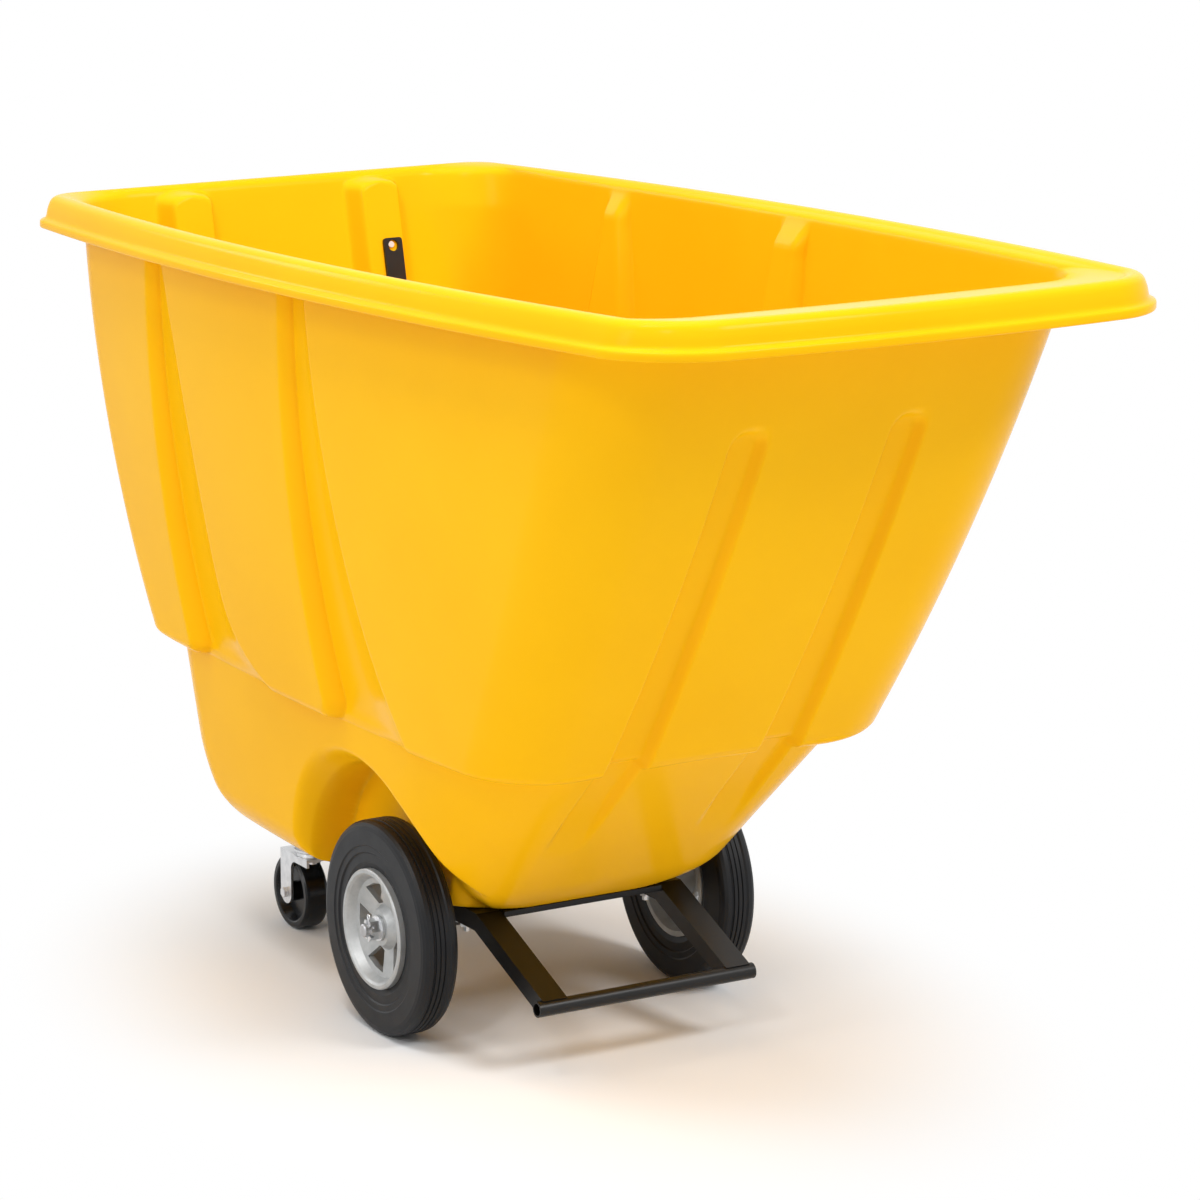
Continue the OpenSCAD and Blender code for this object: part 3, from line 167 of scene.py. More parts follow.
RIM_H, CLIMB = 1117.0, math.tan(math.radians(1.9))
CREST_L, CREST_W, SIDE_BOW, FRONT_BOW = 1754.0, 720.0, 59.0, 30.0
LIP_OUT, LIP_DROP, RIM_R, RIM_REAR_R, WALL = 29.0, 46.0, 75.0, 36.0, 6.0
FLOOR_Z, BELT_Z, TOP_Z = 152.4 + 9.525 + 25.4, 465.0, RIM_H - 65.0

# upper panels, from the belt to the top; pairs are the values at those two heights
BELT_HW, TOP_HW, PROUD, GROOVE_TOP = 311.5, 353.0, 31.8, 18.0
FRONT_BELT, FRONT_TOP, REAR_BELT, REAR_TOP = -377.0, -721.0, 728.0, 855.5
PANEL_FRONT_R, PANEL_REAR_R, REAR_R_SAG, PANEL_FRONT_BOW = (97, 108), (96, 112), 192, (3, 12)
PANEL_BOW, BULGE_FRONT, BULGE_SIDE = (16.5, 54.0, -25.5), 0.19, 0.18
FLARE_SIDE, FLARE_FRONT, FLARE_REAR = 0.058, 0.47, 0.217
FLARE_OUT_TOP, FLARE_OUT_IN, FLARE_IN_TOP, FLARE_IN_IN, FLARE_IN_REAR_R = RIM_H - 9, 4, RIM_H - 4, 11, 80
GROOVE_FADE_Z, GROOVE_FADE = TOP_Z + 8.0, 46.0

# lower body, from the floor to the belt
LOW_HW, SIDE_R, REAR_R = 254.5, 56.0, 130.0
FRONT_FLOOR, FRONT_ANGLE, REAR_FLOOR, BELT_REAR_IN = -81.0, 45.7, 667.5, 18
LOW_BOW, LOW_FRONT_R, LOW_REAR_R, LOW_FRONT_RUN = (15, 20), (127, 99), (105, 115), (225, 259)
FOOT_H, FOOT_IN, FRONT_THICK = 52.0, 23.0, 0.3
LOW_SIDE_START, LOW_SIDE_END = 97.4, 77.7

# belt step, lapped side grooves, front channels and rear grooves
CHIN_Z, CHIN_H, CHIN_BELOW, CHIN_TO_PANEL, CHIN_INNER_LIFT = 452.0, 17.0, 440.0, 485.0, 4.0
CHIN_SAG, CHIN_SAG_X, CHIN_SLOT_RISE, CHIN_SPAN_RUN, CHIN_BASE_RUN = 5.0, 230.0, 15.0, 12.0, 15.0
LAP, DROP, MID_CORNER_R, REAR_CORNER_R = 17.0, 32.0, 34.0, 26.0
LAP_ROUND, LAP_BLEND, RAMP_POWER, RAMP_SHOULDER = 0.7, 0.22, 2.2, 0.14
CHANNEL_X, CHANNEL_D, CHANNEL_LOW_D, CHANNEL_RUN_IN = 119.0, 18.0, 17.0, 120.0
CHANNEL_HALF, CHANNEL_WIDEN, CHANNEL_BEVEL = 17.0, 6.0, 13.0
CHANNEL_LOW, CHANNEL_TOP, CHANNEL_STRETCH = 292.0, 952.0, (1.0, 0.82)
REAR_GX, REAR_GW, REAR_GD, REAR_BEVEL = 158.0, 56.0, 34.0, 20.0
REAR_LOW, REAR_HIGH, REAR_STRETCH, REAR_RUN_IN = BELT_Z - 10, TOP_Z + 58, (0.5, 0.4), 90.0
FRONT_REACH, REAR_REACH, CORNER_GAP = 172.0, 212.0, 6.0

# wheel wells: a drum round the wheel, and a scoop in front of it
WELL_R, WELL_Y, WELL_Z, WELL_X = 195.0, 82.0, 183.4, 190.0
WELL_STEP, WELL_EDGE, WELL_SLOPE = 57.0, 3.0, 1.9
SCOOP_Y, SCOOP_Z, SCOOP_SLOPE, SCOOP_RUN, SCOOP_CURVE = 34.0, 230.3, 0.8, 3.0, 40.0
SCOOP_WALL_Y, SCOOP_WALL_Z, DRUM_BLEND, WELL_BLEND = 1.2, 1.28, 26.0, 15.0

# the two grooves of a side, from front to rear: the place where each ramp starts and where it is deepest, as a curve of
# the share of the height below the top, with a sweep near the belt and its power
GROOVE_CURVES = (
    ((-14, -8, -100), -28, 6),
    ((52, 95, -82), 0, 1),
    ((448, -125, 35), -112, 14),
    ((497, 118, -112), 0, 1),
)

# an outline is a list of these eight values; the front corner is an ellipse
HALF_W, BOW, FRONT_Y, BOW_F, REAR_Y, FRONT_RX, REAR_RAD, FRONT_RY = range(8)


def mix(a, b, t):
    return a + (b - a) * t


def clamp01(t):
    return min(1.0, max(0.0, t))


def smooth(t):
    t = np.clip(t, 0.0, 1.0)
    return t * t * (3.0 - 2.0 * t)


def quarter(t):
    """Quarter of an ellipse that leaves the wall at a right angle."""
    t = np.clip(t, 0.0, 1.0)
    return np.sqrt(1.0 - (1.0 - t) ** 2)


def up(z):
    """Share of the height from the belt to the panels' top."""
    return clamp01((z - BELT_Z) / (TOP_Z - BELT_Z))


def low(z):
    """Share of the height from the floor to the belt."""
    return clamp01((z - FLOOR_Z) / (BELT_Z - FLOOR_Z))


def bottom_in(z, r):
    """How far a wall with a bottom edge of radius r lies in at height z."""
    h = z - FLOOR_Z
    return 0.0 if h >= r else r - math.sqrt(max(0.0, r * r - (r - h) ** 2))


def inset(o, d):
    """An outline moved inwards by d."""
    radii = [max(8, o[i] - d) for i in (FRONT_RX, REAR_RAD, FRONT_RY)]
    return [o[HALF_W] - d, o[BOW], o[FRONT_Y] + d, o[BOW_F], o[REAR_Y] - d, *radii]


def mix_outline(a, b, t):
    return [mix(p, q, t) for p, q in zip(a, b)]


def low_skin(z, d):
    """Outline of the lower body at height z and depth d inside its skin."""
    h = z - FLOOR_Z
    s = clamp01(1 - (h - d) / FOOT_H)
    k = low(z)
    o = inset([
        mix(LOW_HW, BELT_HW - PROUD, k) - bottom_in(z - d, SIDE_R - d),
        mix(*LOW_BOW, k),
        FRONT_FLOOR - h * math.tan(math.radians(FRONT_ANGLE)) + FOOT_IN * s * s,
        0.0,
        mix(REAR_FLOOR, REAR_BELT - BELT_REAR_IN, k) - bottom_in(z - d, REAR_R - d),
        mix(*LOW_FRONT_R, k), mix(*LOW_REAR_R, k), mix(*LOW_FRONT_RUN, k),
    ], d)
    o[FRONT_Y] += FRONT_THICK * d
    return o


def panel_outline(z):
    """Outline of the proud panels."""
    t = up(z)
    bulge = t * (1 - t)
    c0, c1, c2 = PANEL_BOW
    return [
        mix(BELT_HW, TOP_HW, t + BULGE_SIDE * bulge),
        c0 + c1 * t + c2 * t * t,
        mix(FRONT_BELT, FRONT_TOP, t + BULGE_FRONT * bulge),
        mix(*PANEL_FRONT_BOW, t),
        mix(REAR_BELT, REAR_TOP, t),
        mix(*PANEL_FRONT_R, t), mix(*PANEL_REAR_R, t) - REAR_R_SAG * bulge, mix(*PANEL_FRONT_R, t),
    ]


def deep_outline(z):
    """Outline of the grooves' floor."""
    o = panel_outline(z)
    o[HALF_W] -= mix(PROUD, GROOVE_TOP, up(z))
    return o


def rim_outline(d):
    """Outline at the rim's crest, moved outwards by d."""
    crest = [CREST_W / 2, SIDE_BOW, -CREST_L / 2 + FRONT_BOW, FRONT_BOW, CREST_L / 2, RIM_R, RIM_REAR_R, RIM_R]
    return inset(crest, -d)


def lines(z):
    """Lengthwise places of the two lapped grooves: start of the ramp and deep line of each."""
    s = 1 - up(z)
    return tuple(a + b * s + c * s * s + sweep * s ** power for (a, b, c), sweep, power in GROOVE_CURVES)


LAP_STEPS = np.linspace(0, 1, 15)[:-1] ** 1.6   # rows across a lap, closer at its start


def spread(a, b, n):
    """n even places from a up to b, without b."""
    return np.linspace(a, b, n, endpoint=False)


def fall(t):
    """From 0 to 1: a rounded shoulder that drops quickly and runs out flat."""
    t = np.clip(np.asarray(t, float), 0, 1)
    return (1 - (1 - t) ** RAMP_POWER) * smooth(t / RAMP_SHOULDER)


def side_stations(z, a, b):
    """Places along a side, from the front corner at a to the rear one at b."""
    e, d, f, g = lines(z)
    return np.concatenate([
        spread(a, e, 40), spread(e, e + DROP, 26), spread(e + DROP, d, 38), d + LAP * LAP_STEPS,
        spread(d + LAP, f, 60), spread(f, f + DROP, 26), spread(f + DROP, g, 14), g + LAP * LAP_STEPS,
        spread(g + LAP, b, 28),
    ])[1:]


def round_corner(a, b, r):
    """Distance inside a corner of radius r from its two edges, and the lower edge's share of it."""
    p, q = np.maximum(r - a, 0.0), np.maximum(r - b, 0.0)
    share = q * q / np.maximum(p * p + q * q, 1e-9)
    return r - np.hypot(p, q), share


def soft_max(a, b, k):
    h = np.maximum(k - np.abs(a - b), 0.0) / np.maximum(k, 1e-9)
    return np.maximum(a, b) + h * h * k / 4.0


def side_proud(y, z, base, steep):
    """How far the side stands proud at the places y, between 0 in a groove and 1 on a panel.

    Inside the tub the ribs behind the grooves have a steep front face; outside, the grooves have a long ramp.
    """
    e, d, f, g = lines(z)
    run, rear_run = (DROP, DROP) if steep else (d - e, g - f)
    chin = quarter((z - base) / CHIN_H)

    def lap(line, r):
        t, share = round_corner(y - line, np.full_like(y, z - base), r)
        step = LAP_ROUND * quarter(t / LAP) + (1 - LAP_ROUND) * smooth(t / LAP)
        return np.where(y < line, 0.0, mix(step, quarter(t / CHIN_H), share))

    front = chin * (1 - fall((y - e) / run))
    mid = lap(d, MID_CORNER_R) * (1 - fall((y - f) / rear_run))
    rear = lap(g, REAR_CORNER_R)
    blend = LAP_BLEND * float(chin)
    return np.clip(soft_max(soft_max(front, mid, blend), rear, blend), 0, 1)


def end_stations(x, half, bevel, reach):
    """Places across an end, dense at the edges of its two grooves at +-x."""
    inner, outer = x - half, x + half
    right = np.concatenate([
        spread(0, inner - bevel - 3, 14),
        spread(inner - bevel - 3, inner + 5, 12),
        spread(inner + 5, outer - 5, 10),
        spread(outer - 5, outer + bevel + 3, 12),
        np.linspace(outer + bevel + 3, max(reach, outer + bevel + 6), 7),
    ])
    return np.concatenate([-right[:0:-1], right])


NF, NR = 72, 24   # places in a front and in a rear corner
FRONT_ARC = np.linspace(0, math.pi / 2, NF + 1)[1:]
REAR_ARC = np.linspace(0, math.pi / 2, NR + 1)[:-1]


def width_at(y, o):
    """Half width of an outline at the places y, before its bow."""
    f = np.clip((o[FRONT_Y] + o[FRONT_RY] - y) / o[FRONT_RY], 0, 1)
    r = np.clip((y - o[REAR_Y] + o[REAR_RAD]) / o[REAR_RAD], 0, 1)
    return o[HALF_W] - o[FRONT_RX] * (1 - np.sqrt(1 - f * f)) - o[REAR_RAD] * (1 - np.sqrt(1 - r * r))


def channel_half(z):
    """Half width of a front channel's floor."""
    return CHANNEL_HALF + CHANNEL_WIDEN * (1 - up(z)) ** 3


def side_span(o):
    """Where the straight part of an outline's side starts and ends."""
    return o[FRONT_Y] + o[FRONT_RY], o[REAR_Y] - o[REAR_RAD]


def plan(o, zr, ca, cb):
    """Plan points of an outline; ca and cb are the places where its side stations start and end."""
    a, b = side_span(panel_outline(zr))
    ys = mix(ca, cb, (side_stations(zr, a, b) - a) / (b - a))
    xf, xr = o[HALF_W] - o[FRONT_RX], o[HALF_W] - o[REAR_RAD]
    fx = end_stations(CHANNEL_X, channel_half(zr), CHANNEL_BEVEL, max(xf, FRONT_REACH))
    over = np.clip((np.abs(fx) - xf) / o[FRONT_RX], 0, 1)
    fy = o[FRONT_Y] + o[FRONT_RY] * (1 - np.sqrt(1 - over * over))
    rx = end_stations(REAR_GX, REAR_GW / 2, REAR_BEVEL, max(xr, REAR_REACH))
    rx = rx * min(1.0, (o[HALF_W] - CORNER_GAP) / rx[-1])
    over = np.clip((np.abs(rx) - xr) / o[REAR_RAD], 0, 1)
    ry = o[REAR_Y] - o[REAR_RAD] * (1 - np.sqrt(1 - over * over))
    cy = mix(fy[-1], ca, 1 - np.cos(FRONT_ARC))
    qy = mix(cb, ry[-1], np.sin(REAR_ARC))
    cx, sx, qx = width_at(cy, o), width_at(ys, o), width_at(qy, o)
    x = np.concatenate([fx, cx, sx, qx, rx[::-1], -qx[::-1], -sx[::-1], -cx[::-1]])
    y = np.concatenate([fy, cy, ys, qy, ry[::-1], qy[::-1], ys[::-1], cy[::-1]])
    return x, y


IN_FRONT, IN_REAR, ON_SIDE, AT_FRONT_CORNER, AT_REAR_CORNER = 1, 2, 3, 4, 5
N_END = len(end_stations(CHANNEL_X, channel_half(TOP_Z), CHANNEL_BEVEL, FRONT_REACH))
N_SIDE = len(side_stations(TOP_Z, *side_span(panel_outline(TOP_Z))))
RIGHT_SIDE = slice(N_END + NF, N_END + NF + N_SIDE)
LEFT_SIDE = slice(RIGHT_SIDE.stop + NR + N_END + NR, RIGHT_SIDE.stop + NR + N_END + NR + N_SIDE)
WALL_ID = np.repeat(
    [IN_FRONT, AT_FRONT_CORNER, ON_SIDE, AT_REAR_CORNER, IN_REAR, AT_REAR_CORNER, ON_SIDE, AT_FRONT_CORNER],
    [N_END, NF, N_SIDE, NR, N_END, NR, N_SIDE, NF])


def bowed(x, y, o):
    """Plan points with the sides' and the front's bow."""
    v = (2 * y - o[FRONT_Y] - o[REAR_Y]) / (o[REAR_Y] - o[FRONT_Y])
    u = x / o[HALF_W]
    return (x * (1 + o[BOW] / o[HALF_W] * (1 - v * v)),
            y - o[BOW_F] * (1 - u * u) * np.maximum(0, -v) ** 4)


def slot_mask(x, z, cx, half, bevel, z0, z1, stretch0, stretch1):
    """1 on the floor of the upright grooves at +-cx, falling to 0 across their bevel.

    z0 and z1 are the heights of a groove's ends; stretch0 and stretch1 are the height of each round end per width.
    """
    r = half + bevel
    dx = np.abs(np.abs(x) - cx)
    dz = max(0.0, (z0 + r * stretch0 - z) / stretch0, (z - z1 + r * stretch1) / stretch1)
    return smooth((r - np.hypot(dx, dz)) / bevel)


def ring(z, b, p, tilt, base_span=None, lift=0.0, rear_fade=1.0, steep=False):
    """One closed ring of the skin between the base outline b and the proud outline p.

    tilt is the share of the rim's climb, base_span says where the base's side stations start and end, lift raises the
    belt step, rear_fade scales the rear grooves, and steep is for the inside of the tub.
    """
    zr = min(TOP_Z, max(BELT_Z, z))
    bx, by = plan(b, zr, *(base_span or side_span(b)))
    px, py = plan(p, zr, *side_span(p))
    slot = slot_mask(px, z, CHANNEL_X, channel_half(zr), CHANNEL_BEVEL, CHANNEL_LOW, CHANNEL_TOP, *CHANNEL_STRETCH)
    slot = np.where((WALL_ID == IN_FRONT) | (WALL_ID == AT_FRONT_CORNER), slot, 0.0) * (py < 0)
    step_z = CHIN_Z + lift
    sag = CHIN_SAG * smooth(1 - np.abs(px) / CHIN_SAG_X) * (WALL_ID == IN_FRONT)
    m = quarter((z - (step_z + sag + CHIN_SLOT_RISE * slot)) / CHIN_H)
    ys = side_stations(zr, *side_span(panel_outline(zr)))
    q = side_proud(ys, max(z, BELT_Z) if z > step_z + CHIN_H else z, step_z, steep)
    m[RIGHT_SIDE] = q
    m[LEFT_SIDE] = q[::-1]
    bx, by = bowed(bx, by, b)
    px, py = bowed(px, py, p)
    x, y = mix(bx, px, m), mix(by, py, m)
    low_depth = CHANNEL_LOW_D * smooth((z - CHANNEL_LOW) / CHANNEL_RUN_IN)
    y = y + slot * mix(low_depth, CHANNEL_D, m)
    rear = slot_mask(px, z, REAR_GX, REAR_GW / 2, REAR_BEVEL, REAR_LOW, REAR_HIGH, *REAR_STRETCH)
    depth = REAR_GD * rear * clamp01((z - BELT_Z) / REAR_RUN_IN) * rear_fade
    y = y - np.where(WALL_ID == IN_REAR, depth, 0.0)
    return np.stack([x, y, z - y * CLIMB * tilt], 1)


def soft_min(a, b, k):
    h = np.maximum(k - np.abs(a - b), 0.0) / k
    return np.minimum(a, b) - h * h * k / 4.0


def well_cut(pts, d):
    """Press the wheel wells into a ring of the lower body; d is the depth inside the skin."""
    y, z = pts[:, 1], pts[:, 2]
    rho = np.hypot(y - WELL_Y, np.maximum(0.0, z - WELL_Z)) - (WELL_R + d)
    drum = (WELL_X - d) + WELL_STEP * smooth((rho + WELL_EDGE) / (2 * WELL_EDGE)) + WELL_SLOPE * np.maximum(0.0, rho)
    front = np.maximum(0.0, y + SCOOP_Y - SCOOP_WALL_Y * d)
    rise = z - SCOOP_Z - SCOOP_WALL_Z * d
    scoop = WELL_X + rise / SCOOP_SLOPE + SCOOP_RUN * front + front * front / SCOOP_CURVE
    reach = soft_min(drum, scoop, DRUM_BLEND)
    ax = np.abs(pts[:, 0])
    pts[:, 0] = np.sign(pts[:, 0]) * soft_min(ax, reach, WELL_BLEND)
    return pts


def low_span(s):
    """Where the side stations of the lower body start and end."""
    return s[FRONT_Y] + LOW_SIDE_START, s[REAR_Y] - LOW_SIDE_END


def low_ring(z, d):
    """Ring of the lower body."""
    s = low_skin(z, d)
    return well_cut(ring(z, s, s, 0.0, low_span(s)), d)


def chin_ring(z, d):
    """Ring at the belt, where the panels step out over the lower body."""
    p = inset(panel_outline(z), d)
    p[FRONT_Y] += FRONT_THICK * d
    b = low_skin(min(z, BELT_Z), d)
    span = mix_outline(low_span(b), side_span(p), clamp01((z - CHIN_BELOW) / CHIN_SPAN_RUN))
    if z > BELT_Z:
        b = mix_outline(b, inset(deep_outline(z), d), clamp01((z - BELT_Z) / CHIN_BASE_RUN))
    inside = d > 0
    return well_cut(ring(z, b, p, 0.0, span, CHIN_INNER_LIFT if inside else 0.0, steep=inside), d)


def panel_ring(z, d):
    """Ring of the upper panels."""
    tilt = up(z) * (TOP_Z - BELT_Z) / (RIM_H - BELT_Z)
    return ring(z, inset(deep_outline(z), d), inset(panel_outline(z), d), tilt, steep=d > 0)


def flare_ring(t, z, d, e, rear_r=None):
    """Ring between the panels' top (t = 0) and the rim's crest moved inwards by e (t = 1)."""
    p, h = inset(panel_outline(TOP_Z), d), z - TOP_Z
    p[HALF_W] += FLARE_SIDE * h
    p[FRONT_Y] -= FLARE_FRONT * h
    p[REAR_Y] += FLARE_REAR * h
    o = mix_outline(p, rim_outline(-e), t)
    if rear_r:
        o[REAR_RAD] = mix(p[REAR_RAD], rear_r, t)
    w = list(o)
    w[HALF_W] -= GROOVE_TOP * (1 - smooth((z - GROOVE_FADE_Z) / GROOVE_FADE))
    return ring(z, w, o, (z - BELT_Z) / (RIM_H - BELT_Z), steep=d > 0)


def lip_ring(s, h):
    """Ring of the lip: s of its width out from the crest and h of its drop down."""
    o = rim_outline(s * LIP_OUT)
    r = ring(RIM_H, o, o, 1.0, rear_fade=0.0)
    r[:, 2] -= h * LIP_DROP
    return r


def curve(points, n):
    """Dense points on a Catmull-Rom curve through points."""
    p = np.array(points, float)
    p = np.vstack([2 * p[0] - p[1], p, 2 * p[-1] - p[-2]])
    out = []
    for i in range(1, len(p) - 2):
        for t in np.linspace(0, 1, n, endpoint=False):
            a, b, c, d = p[i - 1], p[i], p[i + 1], p[i + 2]
            out.append(0.5 * (2 * b + (c - a) * t + (2 * a - 5 * b + 4 * c - d) * t * t
                              + (3 * b - a - 3 * c + d) * t ** 3))
    out.append(p[-2])
    return np.array(out)


# (share of the way to the crest, share of the height) and, for the lip, (share of its width, share of its drop)
FLARE_OUT = [(0, 0), (0.05, 0.35), (0.35, 0.72), (1, 1)]
LIP_UNDER = [(-0.138, 0.196), (0.22, 0.22), (0.40, 0.40), (0.5, 0.66), (0.66, 0.80), (0.76, 0.86), (0.77, 0.98)]
LIP_EDGE = [(0.79, 1.0), (0.93, 1.0), (0.97, 0.985), (1.0, 0.95), (1.0, 0.83), (0.99, 0.785), (0.95, 0.75),
            (0.88, 0.725), (0.78, 0.70), (0.71, 0.66), (0.68, 0.60)]
LIP_FACE = [(0.68, 0.60), (0.6, 0.36), (0.46, 0.14), (0.24, 0.03), (0, 0)]
FLARE_IN = [(1, 1), (0.66, 0.975), (0.33, 0.94), (0.10, 0.88), (0.0, 0.78), (0, 0.4), (0, 0)]
# the ledge inside the rim: below the rim, in from the crest, radius of the rear corners
LEDGE = [(0.4, 3, 46), (1.2, 6, 58), (2.5, 9, 70)]
# heights of the rows at the belt: from, to and step, closest where the panels step out
CHIN_ROWS = [(CHIN_BELOW, 451.9, 2.0), (CHIN_Z, 460.0, 0.8), (460.0, 484.0, 1.5)]


def tub_rings():
    """All rings of the tub, from the floor's outside to its inside."""
    foot = 20.0
    h = np.concatenate([foot * spread(0, 1, 14) ** 1.8, np.arange(foot, CHIN_BELOW - FLOOR_Z, 2.3)])
    chin_z = np.concatenate([np.arange(*rows) for rows in CHIN_ROWS])
    up_z = CHIN_TO_PANEL + (TOP_Z - CHIN_TO_PANEL) * np.linspace(0, 1, 96) ** 1.15

    rows = [low_ring(FLOOR_Z + v, 0) for v in h]
    rows += [chin_ring(z, 0) for z in chin_z]
    rows += [panel_ring(z, 0) for z in up_z]
    rows += [flare_ring(t, mix(TOP_Z, FLARE_OUT_TOP, k), 0, FLARE_OUT_IN) for t, k in curve(FLARE_OUT, 6)[1:]]
    rows += [lip_ring(s, k) for s, k in curve(LIP_UNDER, 3)[1:]]
    rows += [lip_ring(s, k) for s, k in LIP_EDGE]
    rows += [lip_ring(s, k) for s, k in curve(LIP_FACE, 4)[1:]]

    rows += [flare_ring(1, RIM_H - below, WALL, e, rear_r) for below, e, rear_r in LEDGE]
    rows += [flare_ring(t, mix(TOP_Z, FLARE_IN_TOP, k), WALL, FLARE_IN_IN, FLARE_IN_REAR_R)
             for t, k in curve(FLARE_IN, 4)]
    rows += [panel_ring(z, WALL) for z in up_z[::-1][1::2] if z > CHIN_TO_PANEL + 1]
    rows += [chin_ring(z, WALL) for z in chin_z[::-1][::2]]
    rows += [low_ring(FLOOR_Z + WALL + v, WALL) for v in h[::-1][::2] if FLOOR_Z + WALL + v < CHIN_BELOW - 1]
    rows += [low_ring(FLOOR_Z + WALL, WALL)]
    return rows


def build_tub():
    """The tub's mesh: quads between the rings, and flat strips across the floor's outside and inside."""
    rows = tub_rings()
    n, m = len(rows[0]), len(rows)
    idx = np.arange(n * m).reshape(m, n)
    nxt = np.roll(idx, -1, axis=1)
    quads = np.stack([idx[:-1], nxt[:-1], nxt[1:], idx[1:]], -1).reshape(-1, 4)
    faces = [tuple(q) for q in quads.tolist()]
    mid = (N_END - 1) // 2
    for k in range(n // 2):
        strip = [(mid + k) % n, (mid + k + 1) % n, (mid - k - 1) % n, (mid - k) % n]
        strip = list(dict.fromkeys(strip))
        faces.append(tuple(int(idx[0, i]) for i in strip[::-1]))
        faces.append(tuple(int(idx[-1, i]) for i in strip))

    me = bpy.data.meshes.new("tub_skin")
    me.from_pydata([tuple(v) for v in np.concatenate(rows) / 1000.0], [], faces)
    me.validate()
    me.update()
    me.polygons.foreach_set("use_smooth", [i < len(quads) for i in range(len(me.polygons))])
    me.materials.append(MATS["tub_plastic"])
    ob = bpy.data.objects.new("tub_skin", me)
    scene.collection.objects.link(ob)
    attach(ob, "chassis")
    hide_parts("tub")


build_tub()

# ---------------------------------------------------------------- stage, light and camera

floor_me = bpy.data.meshes.new("floor")
FLOOR_HALF = 30.0
CORNERS = ((-1, -1), (1, -1), (1, 1), (-1, 1))
floor_me.from_pydata([(FLOOR_HALF * x, FLOOR_HALF * y, 0) for x, y in CORNERS], [], [(0, 1, 2, 3)])
floor = bpy.data.objects.new("floor", floor_me)
scene.collection.objects.link(floor)


def sees_background(nt):
    """1 for the rays that show the plain background: the camera's own, and mirrored or refracted ones."""
    lp = nt.nodes.new("ShaderNodeLightPath")
    seen = lp.outputs["Is Camera Ray"]
    for kind in ("Is Glossy Ray", "Is Transmission Ray"):
        either = nt.nodes.new("ShaderNodeMath")
        either.operation = "MAXIMUM"
        nt.links.new(seen, either.inputs[0])
        nt.links.new(lp.outputs[kind], either.inputs[1])
        seen = either.outputs["Value"]
    return seen


def make_floor():
    """Pale matt floor that keeps the soft shadow near the truck and runs out to plain white for the camera."""
    mat = bpy.data.materials.new("floor")
    mat.use_nodes = True
    nt = mat.node_tree
    nt.nodes.clear()
    out = nt.nodes.new("ShaderNodeOutputMaterial")
    diff = nt.nodes.new("ShaderNodeBsdfDiffuse")
    diff.inputs["Color"].default_value = (0.90, 0.90, 0.90, 1)
    white = nt.nodes.new("ShaderNodeEmission")
    white.inputs["Color"].default_value = (1, 1, 1, 1)
    white.inputs["Strength"].default_value = 1.0
    geo = nt.nodes.new("ShaderNodeNewGeometry")
    mp = nt.nodes.new("ShaderNodeMapping")
    mp.vector_type = "POINT"
    mp.inputs["Location"].default_value = (0.0, -0.08, 0.0)
    mp.inputs["Scale"].default_value = (1.35, 0.95, 1.0)
    nt.links.new(geo.outputs["Position"], mp.inputs["Vector"])
    ln = nt.nodes.new("ShaderNodeVectorMath")
    ln.operation = "LENGTH"
    nt.links.new(mp.outputs["Vector"], ln.inputs[0])
    fade = nt.nodes.new("ShaderNodeMapRange")
    fade.interpolation_type = "SMOOTHSTEP"
    fade.inputs["From Min"].default_value = 0.45
    fade.inputs["From Max"].default_value = 0.95
    nt.links.new(ln.outputs["Value"], fade.inputs["Value"])
    seen = nt.nodes.new("ShaderNodeMath")
    seen.operation = "MULTIPLY"
    nt.links.new(fade.outputs["Result"], seen.inputs[0])
    nt.links.new(sees_background(nt), seen.inputs[1])
    mx = nt.nodes.new("ShaderNodeMixShader")
    nt.links.new(seen.outputs["Value"], mx.inputs["Fac"])
    nt.links.new(diff.outputs["BSDF"], mx.inputs[1])
    nt.links.new(white.outputs["Emission"], mx.inputs[2])
    nt.links.new(mx.outputs["Shader"], out.inputs["Surface"])
    return mat


floor_me.materials.append(make_floor())

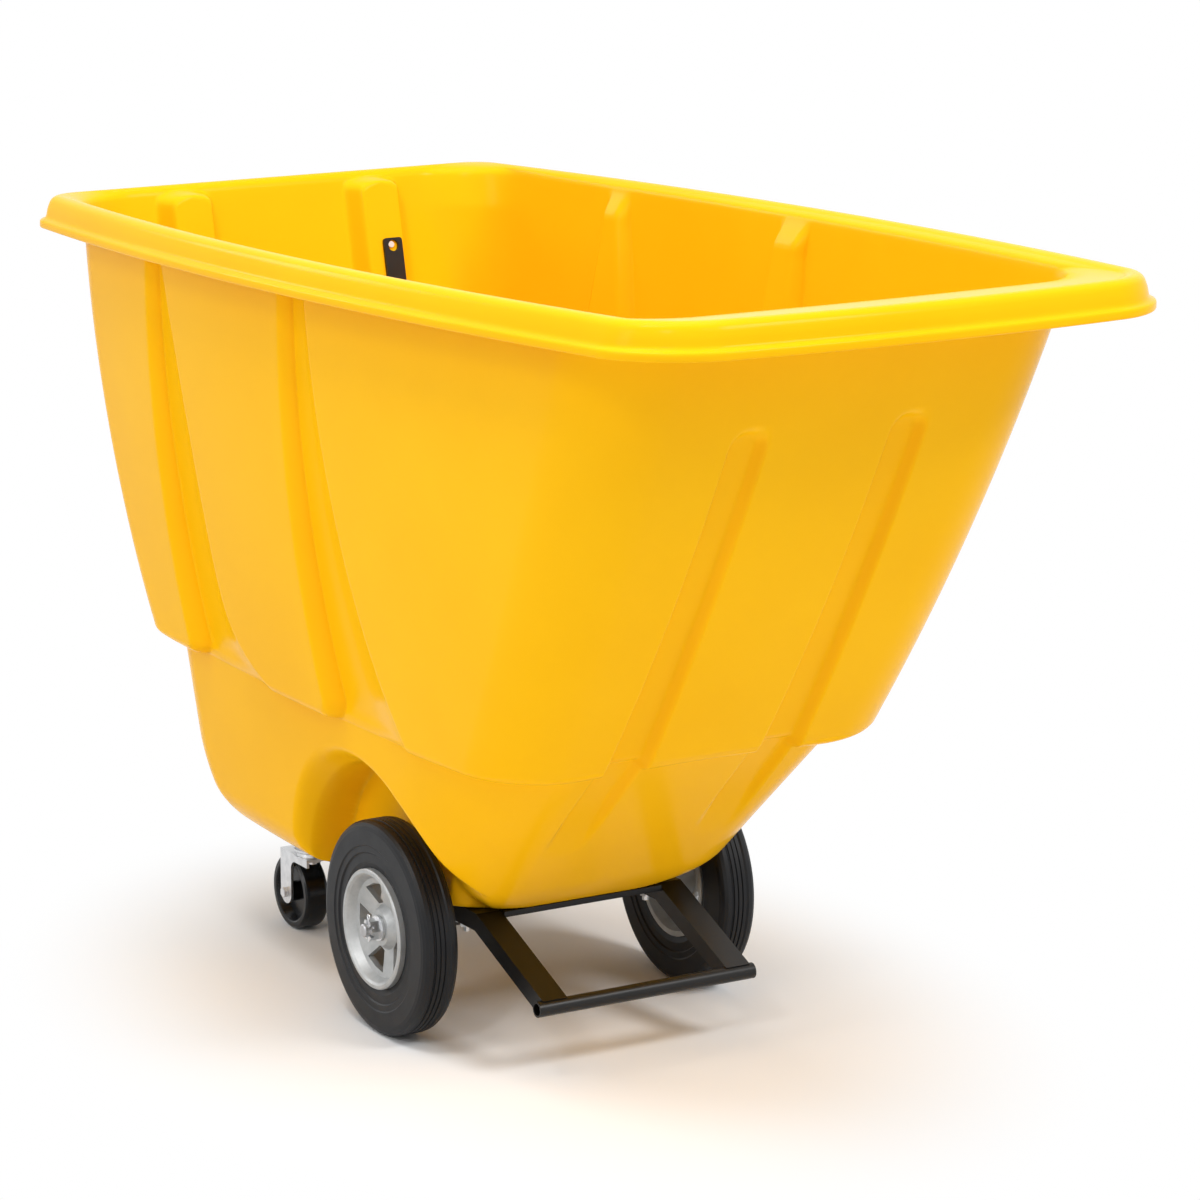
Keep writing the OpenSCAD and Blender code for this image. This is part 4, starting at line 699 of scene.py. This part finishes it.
# name, place, target, width, height (m), power (W)
LAMPS = (
    ("key", (-5.3, 0.1, 2.6), (0, 0, 0.7), 1.4, 2.6, 46.0),
    ("high_a", (-3.6, -3.0, 3.9), (-0.3, -0.4, 0.8), 0.5, 0.8, 34.0),
    ("high_b", (-4.1, 1.0, 4.3), (-0.3, -0.6, 1.0), 0.5, 0.8, 10.0),
    ("front", (-0.6, -4.6, 5.0), (0, 0, 0.8), 0.8, 2.0, 24.0),
    ("side", (1.9, -4.2, 4.9), (0, 0, 0.9), 1.6, 1.8, 190.0),
    ("back", (-2.4, 5.0, 2.9), (0, 0, 0.9), 1.4, 1.4, 30.0),
    ("inner", (-1.3, -0.5, 3.2), (0.4, 0.2, 1.0), 0.7, 0.7, 24.0),
    ("top", (0.0, 0.4, 5.4), (0, 0, 0.6), 3.6, 3.6, 92.0),
)
for name, place, target, width, height, power in LAMPS:
    lamp = bpy.data.lights.new(name, "AREA")
    lamp.energy = power
    lamp.shape = "RECTANGLE"
    lamp.size, lamp.size_y = width, height
    ob = bpy.data.objects.new(name, lamp)
    scene.collection.objects.link(ob)
    ob.location = place
    ob.rotation_euler = (Vector(target) - Vector(place)).to_track_quat("-Z", "Y").to_euler()


def make_world():
    """Even soft light, shown as plain white."""
    w = bpy.data.worlds.new("studio")
    w.use_nodes = True
    nt = w.node_tree
    nt.nodes.clear()
    out = nt.nodes.new("ShaderNodeOutputWorld")
    amb = nt.nodes.new("ShaderNodeBackground")
    amb.inputs["Color"].default_value = (1, 1, 1, 1)
    amb.inputs["Strength"].default_value = 0.38
    white = nt.nodes.new("ShaderNodeBackground")
    white.inputs["Color"].default_value = (1, 1, 1, 1)
    white.inputs["Strength"].default_value = 1.0
    mx = nt.nodes.new("ShaderNodeMixShader")
    nt.links.new(sees_background(nt), mx.inputs["Fac"])
    nt.links.new(amb.outputs["Background"], mx.inputs[1])
    nt.links.new(white.outputs["Background"], mx.inputs[2])
    nt.links.new(mx.outputs["Shader"], out.inputs["Surface"])
    return w


scene.world = make_world()

# the photograph's viewing angle, from the fit of its camera
AZ, EL, EYE = math.radians(-30.56), math.radians(13.14), (-3.0634, -5.2936, 2.0301)
cam_data = bpy.data.cameras.new("camera")
cam = bpy.data.objects.new("camera", cam_data)
scene.collection.objects.link(cam)
back = Vector((math.sin(AZ) * math.cos(EL), -math.cos(AZ) * math.cos(EL), math.sin(EL)))
cam.location = EYE
cam.rotation_mode = "QUATERNION"
cam.rotation_quaternion = (-back).to_track_quat("-Z", "Y")
cam_data.sensor_width = 36.0
cam_data.lens = 136.04
cam_data.clip_start, cam_data.clip_end = 0.05, 200.0
scene.camera = cam
scene.view_settings.view_transform = "Standard"
